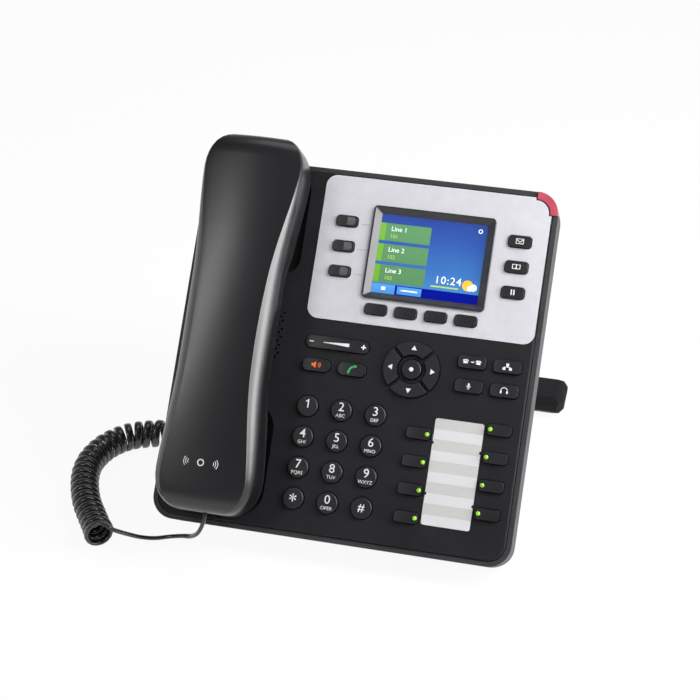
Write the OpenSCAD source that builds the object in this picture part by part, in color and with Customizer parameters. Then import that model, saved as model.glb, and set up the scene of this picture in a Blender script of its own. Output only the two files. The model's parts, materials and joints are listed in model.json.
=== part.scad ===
// Desk IP phone: key pad housing on a tilt stand, handset on its cradle, curly cord.
// Everything is drawn flat, face up, and then turned onto its stand by seat().

/* [Body] */
// Width of the casing across the desk
body_w = 194; // [190:1:240]
// Length of the casing up its sloping face
body_l = 200; // [198:1:245]
// Depth of the casing, face to back
body_t = 30; // [28:1:38]
// Slope of the face on its stand
tilt = 47; // [40:1:52]
// Wall of the front casing
skin = 2.4; // [2:0.1:3]
// Wall of the rear casing, seen as the grey band around the face
rim = 2.6; // [2:0.1:3.5]
// Radius of the casing's corners
corner_r = 12; // [8:1:16]
// Rounding of the rear casing's back edge
back_round = 4; // [2:0.5:6]
// Gap between front casing and rear casing
case_gap = 0.3; // [0.2:0.05:0.5]
// Drop of the rear casing's rim below the face
rim_drop = 1.2; // [0.8:0.1:2]
// Depth of the front casing's skirt
skirt = 12; // [10:1:14]
// Width of the handset's lane, from the left edge
lane_w = 66; // [64:1:74]

/* [Screen] */
// Width of the display's picture
lcd_w = 57.6; // [50:0.1:60]
// Height of the display's picture
lcd_h = 43.2; // [36:0.1:45]
// Width of the dark frame around the picture
lcd_frame = 3.2; // [2.5:0.1:3.5]
// Height of that frame above the face
frame_rise = 1.4; // [0.8:0.1:2]
// Depth of the glass below the face
glass_depth = 1.7; // [1:0.1:2]
// Margin of the silver panel to the casing's edge
panel_margin = 3.4; // [3.3:0.1:5]
// Height of the silver panel
panel_h = 79; // [78:0.5:80]
// Thickness of the silver panel
panel_t = 1.1; // [0.9:0.05:1.2]

/* [Keys] */
// Diameter of a dial key
dial_d = 11.4; // [9:0.1:12]
// Spacing of the dial keys across
dial_dx = 18.5; // [15:0.1:19]
// Spacing of the dial keys along
dial_dy = 16.5; // [14:0.1:17]
// Height of a key above the face
key_rise = 1.8; // [1.4:0.1:2.4]
// Gap between a key and its opening
key_gap = 0.4; // [0.3:0.05:0.5]
// Stroke of a key
key_travel = 1; // [0.6:0.1:1.2]
// Thickness of a key's retaining flange
flange_t = 0.9; // [0.7:0.1:1.2]
// Overhang of a key's retaining flange
flange_out = 1; // [0.8:0.1:1.1]
// Spacing of the one-touch keys along
blf_dy = 14.8; // [13:0.1:16]
// Width of the label card
card_w = 26; // [20:0.5:27]
// Height of the label card
card_h = 56.4; // [50:0.5:60]
// Radius of the round navigation pad
nav_r = 15; // [13:0.1:16]
// Gap between two arrows of the pad
nav_split = 1.8; // [1.7:0.1:2.4]

/* [Handset] */
// Length of the handset
hs_l = 202; // [190:1:210]
// Width of the handset at its cups
hs_w = 54; // [50:1:56]
// Width of the handset at its grip
hs_waist = 47; // [42:1:50]
// Height of the handset's back above the face at the grip
hs_top = 37; // [33:1:44]
// Height of the handset's back above the face at the cups
hs_end_top = 31; // [28:1:36]
// Finger room below the grip
finger_gap = 10; // [9:0.5:14]
// Depth of the cradle's pockets
pocket = 5; // [4:0.5:6]
// Wall of the handset
hs_wall = 2.2; // [1.8:0.1:2.6]
// Gap between a cup and its pocket's floor
seat_gap = 0.3; // [0.2:0.05:0.5]
// Stroke of the hook switch
hook_travel = 4; // [2:0.5:5]

/* [Stand] */
// Thickness of a rubber foot below what it is set in
pad_h = 1.6; // [1:0.1:2.5]
// Reach of the stand's foot bar past the casing, each side
bar_reach = 10; // [0:1:14]
// Depth of the foot bar, front to back
bar_d = 26; // [20:1:28]
// Height of the foot bar
bar_h = 12; // [10:1:16]
// Thickness of a leg
leg_w = 8; // [6:1:12]
// Thickness of the plate on the back of the casing
plate_t = 4; // [3:0.5:6]

/* [Cord] */
// Thickness of the cord
cord_d = 2.8; // [2.4:0.1:3.2]
// Outer diameter of the curly part
coil_d = 16; // [14:0.5:18]

/* [Hidden] */
$fn = 48;
eps = 0.01;
s = sin(tilt);
c = cos(tilt);
// front foot: a facet cut level with the desk off the rear casing's lower edge
facet_cut = 6;
desk_rise = body_t * c - facet_cut + pad_h;
// where a point up the face (v) and off the face (n) lands, seen from the side
function side_y(v, n) = v * c - n * s;
function side_z(v, n) = v * s + n * c + desk_rise;

// lane, key field and display places, flat
left = -body_w / 2;
right = body_w / 2;
lane_shift = 0.5;
lane_x = left + lane_w / 2 + lane_shift;
field_x = left + lane_w;
panel_x0 = field_x + 1.8;
panel_x1 = right - panel_margin;
panel_w = panel_x1 - panel_x0;
panel_x = (panel_x0 + panel_x1) / 2;
panel_v = body_l - panel_margin - panel_h / 2;
panel_r = 6;
panel_proud = 0.2;
lcd_v = body_l - 42.9;
lcd_fit = 0.3;
glass_t = 1.6;
side_key_x = 46.9;
side_key_dv = 13.8;
soft_dx = 16.2;
soft_v = body_l - 74;
mid_v = 98.2;
row_dv = 12.8;
vol_x = field_x + 21.4;
call_dx = 19.6;
call_v = 92.3;
func_x = right - 24.4;
func_dx = 18.8;
dial_x = field_x + 28.9;
dial_v = 20.4;
card_x = right - 35.6;
card_v = 44.8;
card_t = 0.3;
card_fit = 0.2;
card_rise = 0.25;
blf_x = 21;
blf_left_v = 19.2;
blf_right_v = 26.5;
led_x = 16.2;
led_d = 2.4;

// board and key stack
board_t = 1.6;
stem_clear = 0.15;
flange_top = skin + 0.1;
board_n = flange_top + flange_t + key_travel + 4;
stem_d = 3;
// board edges from the lane, the right side, the bottom and the top
board_in = [3, 13, 12, 10];

// casing
front_inset = rim + case_gap;
front_w = body_w - 2 * front_inset;
front_l = body_l - 2 * front_inset;
front_r = corner_r - front_inset;
front_round = 1.2;
lamp_band = 4.2;
lamp_r = corner_r;
lamp_gap = 0.15;
lamp_edge = 0.7;
lamp_depth = 3;

// handset's two ends up the face, and the cradle pockets under its cups
hs_v0 = 5.5;
hs_v1 = hs_v0 + hs_l;
hs_mid = hs_v0 + hs_l / 2;
cup_overhang = 0.5;
pocket_w = hs_w - 2 * cup_overhang;
mouth_r = 14;
ear_r = 8;
mouth_v0 = hs_v0 + 1.5;
mouth_v1 = hs_v0 + 62.5;
ear_v0 = hs_v1 - 67.5;
ear_v1 = hs_v1 - 13.9;
hook_w = 10;
hook_l = 5;
hook_v = hs_v1 - 55.5;
hook_gap = 0.35;
hook_depth = 8.4;
hook_lip = 1.5;
hook_lip_t = 1.2;

// screws: between the pockets, beside the lane and along the right-hand edge
screw_d = 3;
screw_fit = 0.05;
boss_d = 7.6;
post_d = 6.6;
head_d = 5.6;
head_t = 2;
head_clear = 0.35;
post_end = 10;
screw_in = 6;
screw_spots = [
    [left + 17, (mouth_v1 + ear_v0) / 2],
    [field_x - 3.2, 9.8],
    [field_x - 3.2, body_l - 9.8],
    [right - 10.4, 10.4],
    [right - 13, body_l / 2 + 14]
];

// speaker grille, beside the handset
grille_x = left + 50.5;
grille_v = 106;
grille_d = 1.3;
grille_dx = 2.6;
grille_dv = 2.2;
speaker_d = 36;
speaker_h = 9;
speaker_at = [grille_x - 3, grille_v + 6];
mic_hole_d = 1.4;
mic_hole_at = [left + 37.4, 5.2];

// rear casing
vent_l = 26;
vent_w = 2.2;
vent_dx = 5;
plate_v0 = 96;
plate_v1 = 168;
plate_w = 132;
leg_x = 60;
tab_w = 10;
tab_l = 6;
tab_in = rim - 0.2;
tab_gap = 0.3;
tab_set = 14;
bar_y = side_y(plate_v1, -body_t) + 29;
bar_cut = 4;
end_cut = 6;
end_drop = 4.5;
pad_d = 9;
pad_set = 1;
pad_in = 8;
pad_fit = 0.05;
jack_w = 12;
jack_l = 12.5;
jack_depth = 9;
jack_wall = 1.2;
jack_v = 74;
jack_fit = 0.4;
handset_jack_x = left + 19;
handset_jack_w = 8.2;
handset_jack_l = 7;
jack_spots = [-30, -8, 14];
foot_x = right - 26;
facet_y = side_y(0, -body_t) + (facet_cut / tan(tilt) - facet_cut * tan(tilt)) / 2;

// handset section
end_r = 20;
end_keep = 0.46;
drop_r = 9;
drop_keep = 0.62;
cup_bottom = seat_gap - pocket;
overhang = 1.6;
part_end = 9;
part_mid = 17;
cup_slope = 20;
end_slope = 6.5;
ear_in = hs_v1 - 57.5;
ear_out = hs_v1 - 21.5;
mouth_in = hs_v0 + 50.5;
mouth_out = hs_v0 + 8.5;
top_shape = [
    [1, 0], [1.002, 0.15], [1, 0.3], [0.994, 0.44], [0.98, 0.56], [0.93, 0.68], [0.87, 0.8],
    [0.8, 0.91], [0.72, 0.93], [0.6, 0.953], [0.45, 0.975], [0.3, 0.989], [0.15, 0.997], [0, 1]
];
low_shape = [
    [1, 0], [0.998, 0.15], [0.988, 0.3], [0.968, 0.45], [0.94, 0.6], [0.905, 0.74],
    [0.86, 0.87], [0.8, 0.96], [0.7, 0.995], [0.5, 1], [0.25, 1], [0, 1]
];
end_steps = 8;
mid_steps = 34;
ear_v = hs_v1 - 39.5;
mouth_v = hs_v0 + 28.5;
receiver_d = 33;
mic_d = 9.6;
capsule_gap = 0.15;

// cord route on the desk, in the part's own frame before it is centred
route_coil = [
    [-120, -14.5, 9.4], [-129, -1, 8.2], [-138, 13, 8.2], [-145, 30, 8.2], [-147, 45, 8.2],
    [-143, 60, 8.2], [-134, 71, 8.2], [-122, 77, 8.2], [-109, 80, 8.4], [-100, 81.5, 8.8]
];
route_lead = [
    [-63.5, -5.07, 28.17], [-63.61, -6.15, 26.72], [-64.6, -7.6, 22.6], [-67.5, -7.5, 16],
    [-72.5, -4, 9.6],
    [-79, -0.5, 5.4], [-86.5, 0, 3], [-94, -2.5, 2.4], [-101, -7, 3], [-107, -13.5, 4.6],
    [-111.5, -19, 7.4], [-116, -20.3, 10], [-120, -14.5, 9.4]
];
route_tail = [
    [-100, 81.5, 8.8], [-93, 82.8, 9.2], [-86.5, 87, 12.6], [-81, 91, 19.5],
    [-78.8, 91.4, 27], [-78, 87, 34.6], [-78, 81.6, 41.2], [-78, 76.8, 45.65],
    [-78, 72.45, 49.7]
];
cord_sides = 8;
coil_sides = 12;

// ---- key tables: place across, place up the face, width, height, corner radius
line_size = [11.6, 5.7, 1.8];
feature_size = [12.2, 6.2, 1.8];
soft_size = [11.9, 5.7, 1.8];
func_size = [14.8, 6.9, 2];
call_size = [15.3, 6.9, 3.4];
blf_size = [12.8, 6, 1.8];
rocker_size = [34.8, 6.6, 3.2];
nav_in = 7.8;
ok_r = 5.3;
rocker_tilt = 3;

function line_at(i) = [panel_x - side_key_x, lcd_v + 1 - (i - 1) * side_key_dv];
function feature_at(i) = [panel_x + side_key_x, lcd_v + 0.8 - (i - 1) * side_key_dv];
function soft_at(i) = [panel_x + (i - 1.5) * soft_dx, soft_v];
function func_at(i) = [
    func_x + (i % 2 - 0.5) * func_dx,
    mid_v + (0.5 - floor(i / 2)) * row_dv
];
function call_at(i) = [vol_x + (i - 0.5) * call_dx, call_v];
function dial_at(i) = [dial_x + (i % 3 - 1) * dial_dx, dial_v + (3 - floor(i / 3)) * dial_dy];
function blf_at(i) = i < 4
    ? [card_x - blf_x, blf_left_v + (3 - i) * blf_dy]
    : [card_x + blf_x, blf_right_v + (7 - i) * blf_dy];
function led_at(i) = [card_x + (i < 4 ? -led_x : led_x), blf_at(i)[1]];
nav_at = [panel_x - 0.4, 96.6];
rocker_at = [vol_x, 104.8];

// ---- placing
front_y = min([for (ring = top_rings()) for (p = ring) side_y(p[1], p[2])]);
back_y = bar_y + bar_d / 2;
centre_y = (front_y + back_y) / 2;

module seat() {
    translate([0, -centre_y, desk_rise]) rotate([tilt, 0, 0]) children();
}

module on_desk() {
    translate([0, -centre_y, 0]) children();
}

module at(p, n = 0) {
    translate([p[0], p[1], n]) children();
}

// ---- 2D shapes
module round_rect(w, l, r) {
    square([w - 2 * r, l], center = true);
    square([w, l - 2 * r], center = true);
    for (x = [-1, 1], y = [-1, 1]) {
        translate([x * (w / 2 - r), y * (l / 2 - r)]) circle(r);
    }
}

module slot_2d(w, l) {
    square([w, l - w], center = true);
    for (y = [-1, 1]) {
        translate([0, y * (l - w) / 2]) circle(d = w, $fn = 24);
    }
}

module arrow_2d(split, r_in, r_out) {
    intersection() {
        difference() {
            circle(r_out);
            circle(r_in);
        }
        rotate(45) translate([split / 2, split / 2]) square(2 * r_out);
    }
}

// slab lying on n = 0 and reaching down h, with its upper edge rounded by e
module slab_section(w, h, e) {
    translate([-w / 2, -h]) square([w, h - e]);
    translate([-w / 2 + e, -h]) square([w - 2 * e, h]);
    for (x = [-1, 1]) {
        translate([x * (w / 2 - e), -e]) circle(e, $fn = 32);
    }
}

module slab_corner(r, h, e) {
    rotate_extrude() {
        translate([0, -h]) square([r, h - e]);
        translate([0, -h]) square([r - e, h]);
        translate([r - e, -e]) circle(e, $fn = 32);
    }
}

module slab(w, l, r, h, e) {
    for (x = [-1, 1], y = [-1, 1]) {
        translate([x * (w / 2 - r), y * (l / 2 - r), 0]) slab_corner(r, h, e);
    }
    translate([0, l / 2 - r, 0]) rotate([90, 0, 0]) {
        linear_extrude(l - 2 * r) slab_section(w, h, e);
    }
    translate([-w / 2 + r, 0, 0]) rotate([90, 0, 90]) {
        linear_extrude(w - 2 * r) slab_section(l, h, e);
    }
}

// ---- keys
// cap through the face, flange behind it, stem down to its switch
module key_back(stem = true) {
    translate([0, 0, -flange_top - flange_t]) {
        linear_extrude(flange_t) children();
    }
    if (stem) {
        stem_len = board_n - key_travel - stem_clear - flange_top;
        translate([0, 0, -flange_top - stem_len]) cylinder(d = stem_d, h = stem_len);
    }
}

module pill_key(size, rise = key_rise) {
    crown_r = 60;
    crown_fn = 160;
    intersection() {
        translate([0, 0, -flange_top - eps]) {
            linear_extrude(rise + flange_top + eps) round_rect(size[0], size[1], size[2]);
        }
        translate([0, size[1], rise - crown_r]) rotate([90, 0, 0]) {
            cylinder(r = crown_r, h = 2 * size[1], $fn = crown_fn);
        }
    }
    key_back() round_rect(size[0] + 2 * flange_out, size[1] + 2 * flange_out, size[2]);
}

module round_key(d, rise = key_rise) {
    edge = 0.9;
    rotate_extrude() {
        translate([0, -flange_top - eps]) square([d / 2, flange_top + rise - edge + eps]);
        translate([0, -flange_top - eps]) square([d / 2 - edge, flange_top + rise + eps]);
        translate([d / 2 - edge, rise - edge]) intersection() {
            circle(edge, $fn = 32);
            square(edge);
        }
    }
    key_back() circle(d / 2 + flange_out);
}

module arrow_key(turn) {
    rise = key_rise;
    rotate(turn) {
        translate([0, 0, -flange_top - eps]) {
            linear_extrude(rise + flange_top + eps) arrow_2d(nav_split, nav_in, nav_r);
        }
        translate([0, 0, -flange_top - flange_t]) linear_extrude(flange_t) {
            arrow_2d(nav_split - 0.7, nav_in - 0.8, nav_r + flange_out);
        }
        stem_len = board_n - key_travel - stem_clear - flange_top;
        translate([0, (nav_in + nav_r) / 2, -flange_top - stem_len]) {
            cylinder(d = stem_d, h = stem_len);
        }
    }
}

module key_hole(size) {
    translate([0, 0, -skin - 1]) linear_extrude(skin + 4) {
        round_rect(size[0] + 2 * key_gap, size[1] + 2 * key_gap, size[2] + key_gap);
    }
}

// openings through the silver panel as well as the casing behind it
module panel_key_holes() {
    for (i = [0:2]) {
        at(line_at(i)) key_hole(line_size);
        at(feature_at(i)) key_hole(feature_size);
    }
    for (i = [0:3]) {
        at(soft_at(i)) key_hole(soft_size);
    }
}

module field_key_holes() {
    for (i = [0:3]) {
        at(func_at(i)) key_hole(func_size);
    }
    for (i = [0:1]) {
        at(call_at(i)) key_hole(call_size);
    }
    for (i = [0:7]) {
        at(blf_at(i)) key_hole(blf_size);
        at(led_at(i), -skin - 1) cylinder(d = led_d, h = skin + 2, $fn = 24);
    }
    for (i = [0:11]) {
        at(dial_at(i), -skin - 1) cylinder(d = dial_d + 2 * key_gap, h = skin + 2);
    }
    at(rocker_at) key_hole(rocker_size);
    at(nav_at, -skin - 1) linear_extrude(skin + 2) {
        circle(ok_r + key_gap);
        for (turn = [0:90:270]) {
            rotate(turn) {
                arrow_2d(nav_split - 2 * key_gap, nav_in - key_gap, nav_r + key_gap);
            }
        }
    }
}

// ---- front casing
module cradle_plan(grow = 0) {
    for (span = [[mouth_v0, mouth_v1, mouth_r], [ear_v0, ear_v1, ear_r]]) {
        translate([lane_x, (span[0] + span[1]) / 2]) {
            round_rect(pocket_w + 2 * grow, span[1] - span[0] + 2 * grow, span[2] + grow);
        }
    }
}

module lcd_window(top_w, top_l, low_w, low_l, depth) {
    intersection() {
        rotate([90, 0, 0]) linear_extrude(2 * top_l, center = true) {
            polygon([[-low_w / 2, -depth], [low_w / 2, -depth], [top_w / 2, 0], [-top_w / 2, 0]]);
        }
        rotate([90, 0, 90]) linear_extrude(2 * top_w, center = true) {
            polygon([[-low_l / 2, -depth], [low_l / 2, -depth], [top_l / 2, 0], [-top_l / 2, 0]]);
        }
    }
}

module lamp_plan(grow = 0) {
    intersection() {
        translate([right - lamp_r, body_l - lamp_r]) difference() {
            circle(lamp_r + grow);
            circle(lamp_r - lamp_band - grow);
        }
        translate([right - lamp_r - grow, body_l - lamp_r - grow]) square(2 * lamp_r);
    }
}

module grille_holes() {
    for (row = [0:11], col = [0:3]) {
        shift = (col - 1.5 + (row % 2) / 2) * grille_dx;
        translate([grille_x + shift, grille_v + (row - 5.5) * grille_dv, -skin - 1]) {
            cylinder(d = grille_d, h = skin + 2, $fn = 16);
        }
    }
}

module top_housing() {
    wall_w = front_w - 2 * skin;
    wall_l = front_l - 2 * skin;
    color("#26272a") seat() difference() {
        union() {
            difference() {
                translate([0, body_l / 2, 0]) slab(front_w, front_l, front_r, skirt, front_round);
                translate([0, body_l / 2, -skirt - 1]) {
                    linear_extrude(skirt + 1 - skin) round_rect(wall_w, wall_l, front_r - skin);
                }
            }
            intersection() {
                translate([0, 0, -pocket - skin]) linear_extrude(pocket) cradle_plan(skin);
                translate([0, body_l / 2, -skirt]) {
                    linear_extrude(skirt) round_rect(front_w, front_l, front_r);
                }
            }
            for (spot = screw_spots) {
                at(spot, -post_end) cylinder(d = post_d, h = post_end - 1);
            }
            at([panel_x, lcd_v], -skin) {
                translate([0, 0, (skin + frame_rise) / 2]) {
                    cube([lcd_w + 2 * lcd_frame, lcd_h + 2 * lcd_frame, skin + frame_rise],
                        center = true);
                }
            }
        }
        translate([0, 0, -pocket]) linear_extrude(pocket + 1) cradle_plan();
        at([panel_x, panel_v], -panel_t + panel_proud) difference() {
            linear_extrude(skin) {
                round_rect(panel_w + 2 * lcd_fit, panel_h + 2 * lcd_fit, panel_r + lcd_fit);
            }
            translate([0, lcd_v - panel_v, -1]) linear_extrude(skin + 4) {
                square([lcd_w + 2 * lcd_frame, lcd_h + 2 * lcd_frame], center = true);
            }
        }
        at([panel_x, lcd_v], frame_rise + eps) {
            lcd_window(lcd_w + 4, lcd_h + 4, lcd_w, lcd_h, frame_rise + glass_depth + 2 * eps);
        }
        at([panel_x, lcd_v], -skin - 1) linear_extrude(skin + 1 - glass_depth) {
            square([lcd_w + 4 + lcd_fit, lcd_h + 4 + lcd_fit], center = true);
        }
        panel_key_holes();
        field_key_holes();
        grille_holes();
        for (spot = screw_spots) {
            at(spot, -post_end - 1) cylinder(d = screw_d + 2 * screw_fit, h = screw_in + 1.5);
        }
        at([lane_x, hook_v], -pocket - skin - 1) linear_extrude(skin + 2) {
            square([hook_w + 2 * hook_gap, hook_l + 2 * hook_gap], center = true);
        }
        translate([0, 0, -lamp_depth - lamp_gap]) linear_extrude(lamp_depth + 2) {
            lamp_plan(lamp_gap);
        }
        at(mic_hole_at, -skin - 1) cylinder(d = mic_hole_d, h = skin + 2, $fn = 16);
        at([card_x, card_v], -card_t) linear_extrude(card_t + 1) {
            round_rect(card_w + 2 * card_fit, card_h + 2 * card_fit, 1);
        }
    }
}

// ---- rear casing, upside down slab with a cavity, bosses and sockets
module rear_hollow() {
    inner = 2 * rim;
    translate([0, body_l / 2, -body_t + rim]) {
        linear_extrude(body_t) round_rect(body_w - inner, body_l - inner, corner_r - rim);
    }
}

// takes a piece drawn over the desk into the flat drawing's frame
module from_desk() {
    rotate([-tilt, 0, 0]) translate([0, 0, -desk_rise]) children();
}

// half space below height z over the desk
module level_cut(z) {
    from_desk() translate([-body_w, -body_l, z - 100]) {
        cube([2 * body_w, 3 * body_l, 100]);
    }
}

module facet_floor() {
    // inside wall that closes the casing over the facet
    from_desk() translate([-body_w / 2 + rim / 2, 0, pad_h]) {
        cube([body_w - rim, 60, rim]);
    }
}

module jack_block(w, l) {
    translate([0, 0, -body_t + rim / 2]) linear_extrude(jack_depth + jack_wall) {
        square([w + 2 * jack_wall, l + 2 * jack_wall], center = true);
    }
}

module jack_void(w, l) {
    translate([0, 0, -body_t - 1]) linear_extrude(jack_depth + 1) {
        square([w, l], center = true);
    }
}

module bottom_housing() {
    color("#3a3b3e") seat() difference() {
        union() {
            difference() {
                translate([0, body_l / 2, -body_t]) rotate([180, 0, 0]) {
                    slab(body_w, body_l, corner_r, body_t - rim_drop, back_round);
                }
                rear_hollow();
            }
            intersection() {
                facet_floor();
                translate([0, 0, -body_t + eps]) linear_extrude(body_t - skirt - 2) {
                    translate([0, body_l / 2]) {
                        round_rect(body_w - rim, body_l - rim, corner_r - rim / 2);
                    }
                }
            }
            for (spot = screw_spots) {
                at(spot, -body_t + rim / 2) {
                    cylinder(d = boss_d, h = body_t - rim / 2 - post_end);
                }
            }
            for (x = jack_spots) {
                at([x, jack_v]) jack_block(jack_w, jack_l);
            }
            at([handset_jack_x, jack_v]) jack_block(handset_jack_w, handset_jack_l);
        }
        for (spot = screw_spots) {
            at(spot, -body_t - 1) {
                cylinder(d = screw_d + 2 * screw_fit, h = body_t);
                cylinder(d = head_d + 2 * head_clear, h = head_t + 3);
            }
        }
        for (x = jack_spots) {
            at([x, jack_v]) jack_void(jack_w, jack_l);
        }
        for (x = [-1, 1], v = [plate_v0 + tab_set, plate_v1 - tab_set]) {
            translate([x * leg_x, v, -body_t - 1]) linear_extrude(rim + 2) {
                square([tab_w + 2 * tab_gap, tab_l + 2 * tab_gap], center = true);
            }
        }
        for (i = [0:9]) {
            translate([(i - 4.5) * vent_dx, 30, -body_t - 1]) linear_extrude(rim + 2) {
                slot_2d(vent_w, vent_l);
            }
        }
        level_cut(pad_h);
        for (x = [-1, 1]) {
            from_desk() translate([x * foot_x, facet_y, pad_h - 1]) {
                cylinder(d = pad_d + 2 * pad_fit, h = pad_set + 1);
            }
        }
        translate([0, 0, -lamp_depth - 2 * lamp_gap]) linear_extrude(lamp_depth + 2) {
            lamp_plan(lamp_gap);
        }
    }
}

// ---- display
module display_panel() {
    color("#d6d7da") seat() difference() {
        at([panel_x, panel_v], -panel_t + panel_proud) linear_extrude(panel_t) difference() {
            round_rect(panel_w, panel_h, panel_r);
            translate([0, lcd_v - panel_v]) {
                square([lcd_w + 2 * lcd_frame + lcd_fit, lcd_h + 2 * lcd_frame + lcd_fit],
                    center = true);
            }
        }
        panel_key_holes();
        translate([0, 0, -lamp_depth]) linear_extrude(lamp_depth + 2) lamp_plan(lamp_edge);
    }
}

module lcd_module() {
    module_w = lcd_w + 4;
    module_h = lcd_h + 4;
    color("#2457a8") seat() at([panel_x, lcd_v], -glass_depth - glass_t) {
        linear_extrude(glass_t) square([module_w, module_h], center = true);
        depth = board_n - glass_depth - glass_t;
        translate([0, 0, -depth]) linear_extrude(depth + eps) {
            square([module_w - 3, module_h - 3], center = true);
        }
    }
}

// ---- board with its sockets' contact blocks
module main_board() {
    board_x0 = field_x + board_in[0];
    board_x1 = right - board_in[1];
    board_v0 = board_in[2];
    board_v1 = body_l - board_in[3];
    color("#2f6b3c") seat() {
        difference() {
            translate([board_x0, board_v0, -board_n - board_t]) {
                cube([board_x1 - board_x0, board_v1 - board_v0, board_t]);
            }
            for (spot = screw_spots) {
                at(spot, -board_n - board_t - 1) cylinder(d = boss_d + 1, h = board_t + 2);
            }
        }
        for (x = jack_spots) {
            low = -body_t + rim / 2 + jack_depth + jack_wall;
            translate([x, jack_v, low]) linear_extrude(-board_n - board_t - low) {
                square([jack_w, jack_l], center = true);
            }
        }
    }
}

module message_lamp() {
    color("#d8435a") seat() {
        translate([0, 0, -lamp_depth]) linear_extrude(lamp_depth) lamp_plan();
    }
}

module label_card() {
    color("#eceded") seat() at([card_x, card_v], -card_t) {
        linear_extrude(card_t + card_rise) round_rect(card_w, card_h, 0.8);
    }
}

module loudspeaker() {
    frame_t = 2;
    cone_in = 4;
    cone_top = speaker_h - 0.8;
    color("#4a4a4c") seat() at(speaker_at, -body_t + rim) rotate_extrude() {
        difference() {
            square([speaker_d / 2, speaker_h]);
            polygon([
                [0, cone_in], [speaker_d / 6, cone_in], [speaker_d / 2 - frame_t, cone_top],
                [speaker_d / 2 - frame_t, speaker_h + 1], [0, speaker_h + 1]
            ]);
        }
    }
}

module rubber_feet() {
    color("#1b1b1c") {
        on_desk() for (x = [-1, 1]) {
            translate([x * foot_x, facet_y, 0]) cylinder(d = pad_d, h = pad_h + pad_set);
            translate([x * (right - pad_in), bar_y, 0]) cylinder(d = pad_d, h = pad_h + pad_set);
        }
    }
}

module housing_screws() {
    shank_top = -post_end + screw_in;
    head_seat = -body_t + head_t + 2;
    color("#9a9ca0") seat() for (spot = screw_spots) {
        at(spot, head_seat) {
            cylinder(d = screw_d, h = shank_top - head_seat);
            translate([0, 0, -head_t]) difference() {
                cylinder(d = head_d, h = head_t);
                translate([0, 0, -1]) cylinder(d = 2.4, h = 2, $fn = 6);
            }
        }
    }
}

// ---- stand
module side_cut(points, w) {
    rotate([90, 0, 90]) linear_extrude(w, center = true) polygon(points);
}

module desk_stand() {
    bar_len = body_w + 2 * bar_reach;
    y0 = bar_y - bar_d / 2;
    y1 = bar_y + bar_d / 2;
    z0 = pad_h;
    z1 = pad_h + bar_h;
    back = -body_t;
    outer = -body_t - plate_t;
    color("#2b2c2f") {
        on_desk() difference() {
            union() {
                for (x = [-1, 1]) {
                    translate([x * leg_x, 0, 0]) side_cut([
                        [side_y(plate_v1, back), side_z(plate_v1, back)],
                        [side_y(plate_v0, back), side_z(plate_v0, back)],
                        [side_y(plate_v0, outer), side_z(plate_v0, outer)],
                        [y0 + bar_cut, z1],
                        [y1 - bar_cut, z1],
                        [side_y(plate_v1, outer), side_z(plate_v1, outer)]
                    ], leg_w);
                }
                intersection() {
                    side_cut([
                        [y0 + bar_cut, z0], [y1 - bar_cut, z0], [y1, z0 + bar_cut],
                        [y1, z1 - bar_cut], [y1 - bar_cut, z1], [y0 + bar_cut, z1],
                        [y0, z1 - bar_cut], [y0, z0 + bar_cut]
                    ], bar_len);
                    translate([0, 0, z0 - 1]) linear_extrude(bar_h + 2) polygon([
                        [-bar_len / 2, y0 + bar_cut], [-bar_len / 2 + bar_cut, y0],
                        [bar_len / 2 - bar_cut, y0], [bar_len / 2, y0 + bar_cut],
                        [bar_len / 2, y1 - bar_cut], [bar_len / 2 - bar_cut, y1],
                        [-bar_len / 2 + bar_cut, y1], [-bar_len / 2, y1 - bar_cut]
                    ]);
                    rotate([90, 0, 0]) linear_extrude(2 * back_y, center = true) polygon([
                        [-bar_len / 2, z0 + end_drop], [-bar_len / 2 + end_cut, z0],
                        [bar_len / 2 - end_cut, z0], [bar_len / 2, z0 + end_drop],
                        [bar_len / 2, z1 - end_drop], [bar_len / 2 - end_cut, z1],
                        [-bar_len / 2 + end_cut, z1], [-bar_len / 2, z1 - end_drop]
                    ]);
                }
                side_cut([
                    [side_y(plate_v1, back), side_z(plate_v1, back)],
                    [side_y(plate_v0, back), side_z(plate_v0, back)],
                    [side_y(plate_v0, outer), side_z(plate_v0, outer)],
                    [side_y(plate_v1, outer), side_z(plate_v1, outer)]
                ], plate_w);
            }
            for (x = [-1, 1]) {
                translate([x * (right - pad_in), bar_y, pad_h - 1]) {
                    cylinder(d = pad_d + 2 * pad_fit, h = pad_set + 1);
                }
            }
        }
        seat() for (x = [-1, 1], v = [plate_v0 + tab_set, plate_v1 - tab_set]) {
            translate([x * leg_x, v, -body_t - 1]) linear_extrude(tab_in + 1) {
                square([tab_w, tab_l], center = true);
            }
        }
    }
}

// ---- hook switch, held down by the handset
module hook_switch() {
    color("#1d1d1f") seat() at([lane_x, hook_v], -pocket - hook_depth) {
        linear_extrude(hook_depth) square([hook_w, hook_l], center = true);
        linear_extrude(hook_lip_t) {
            square([hook_w + 2 * hook_lip, hook_l + 2 * hook_lip], center = true);
        }
    }
}

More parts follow.
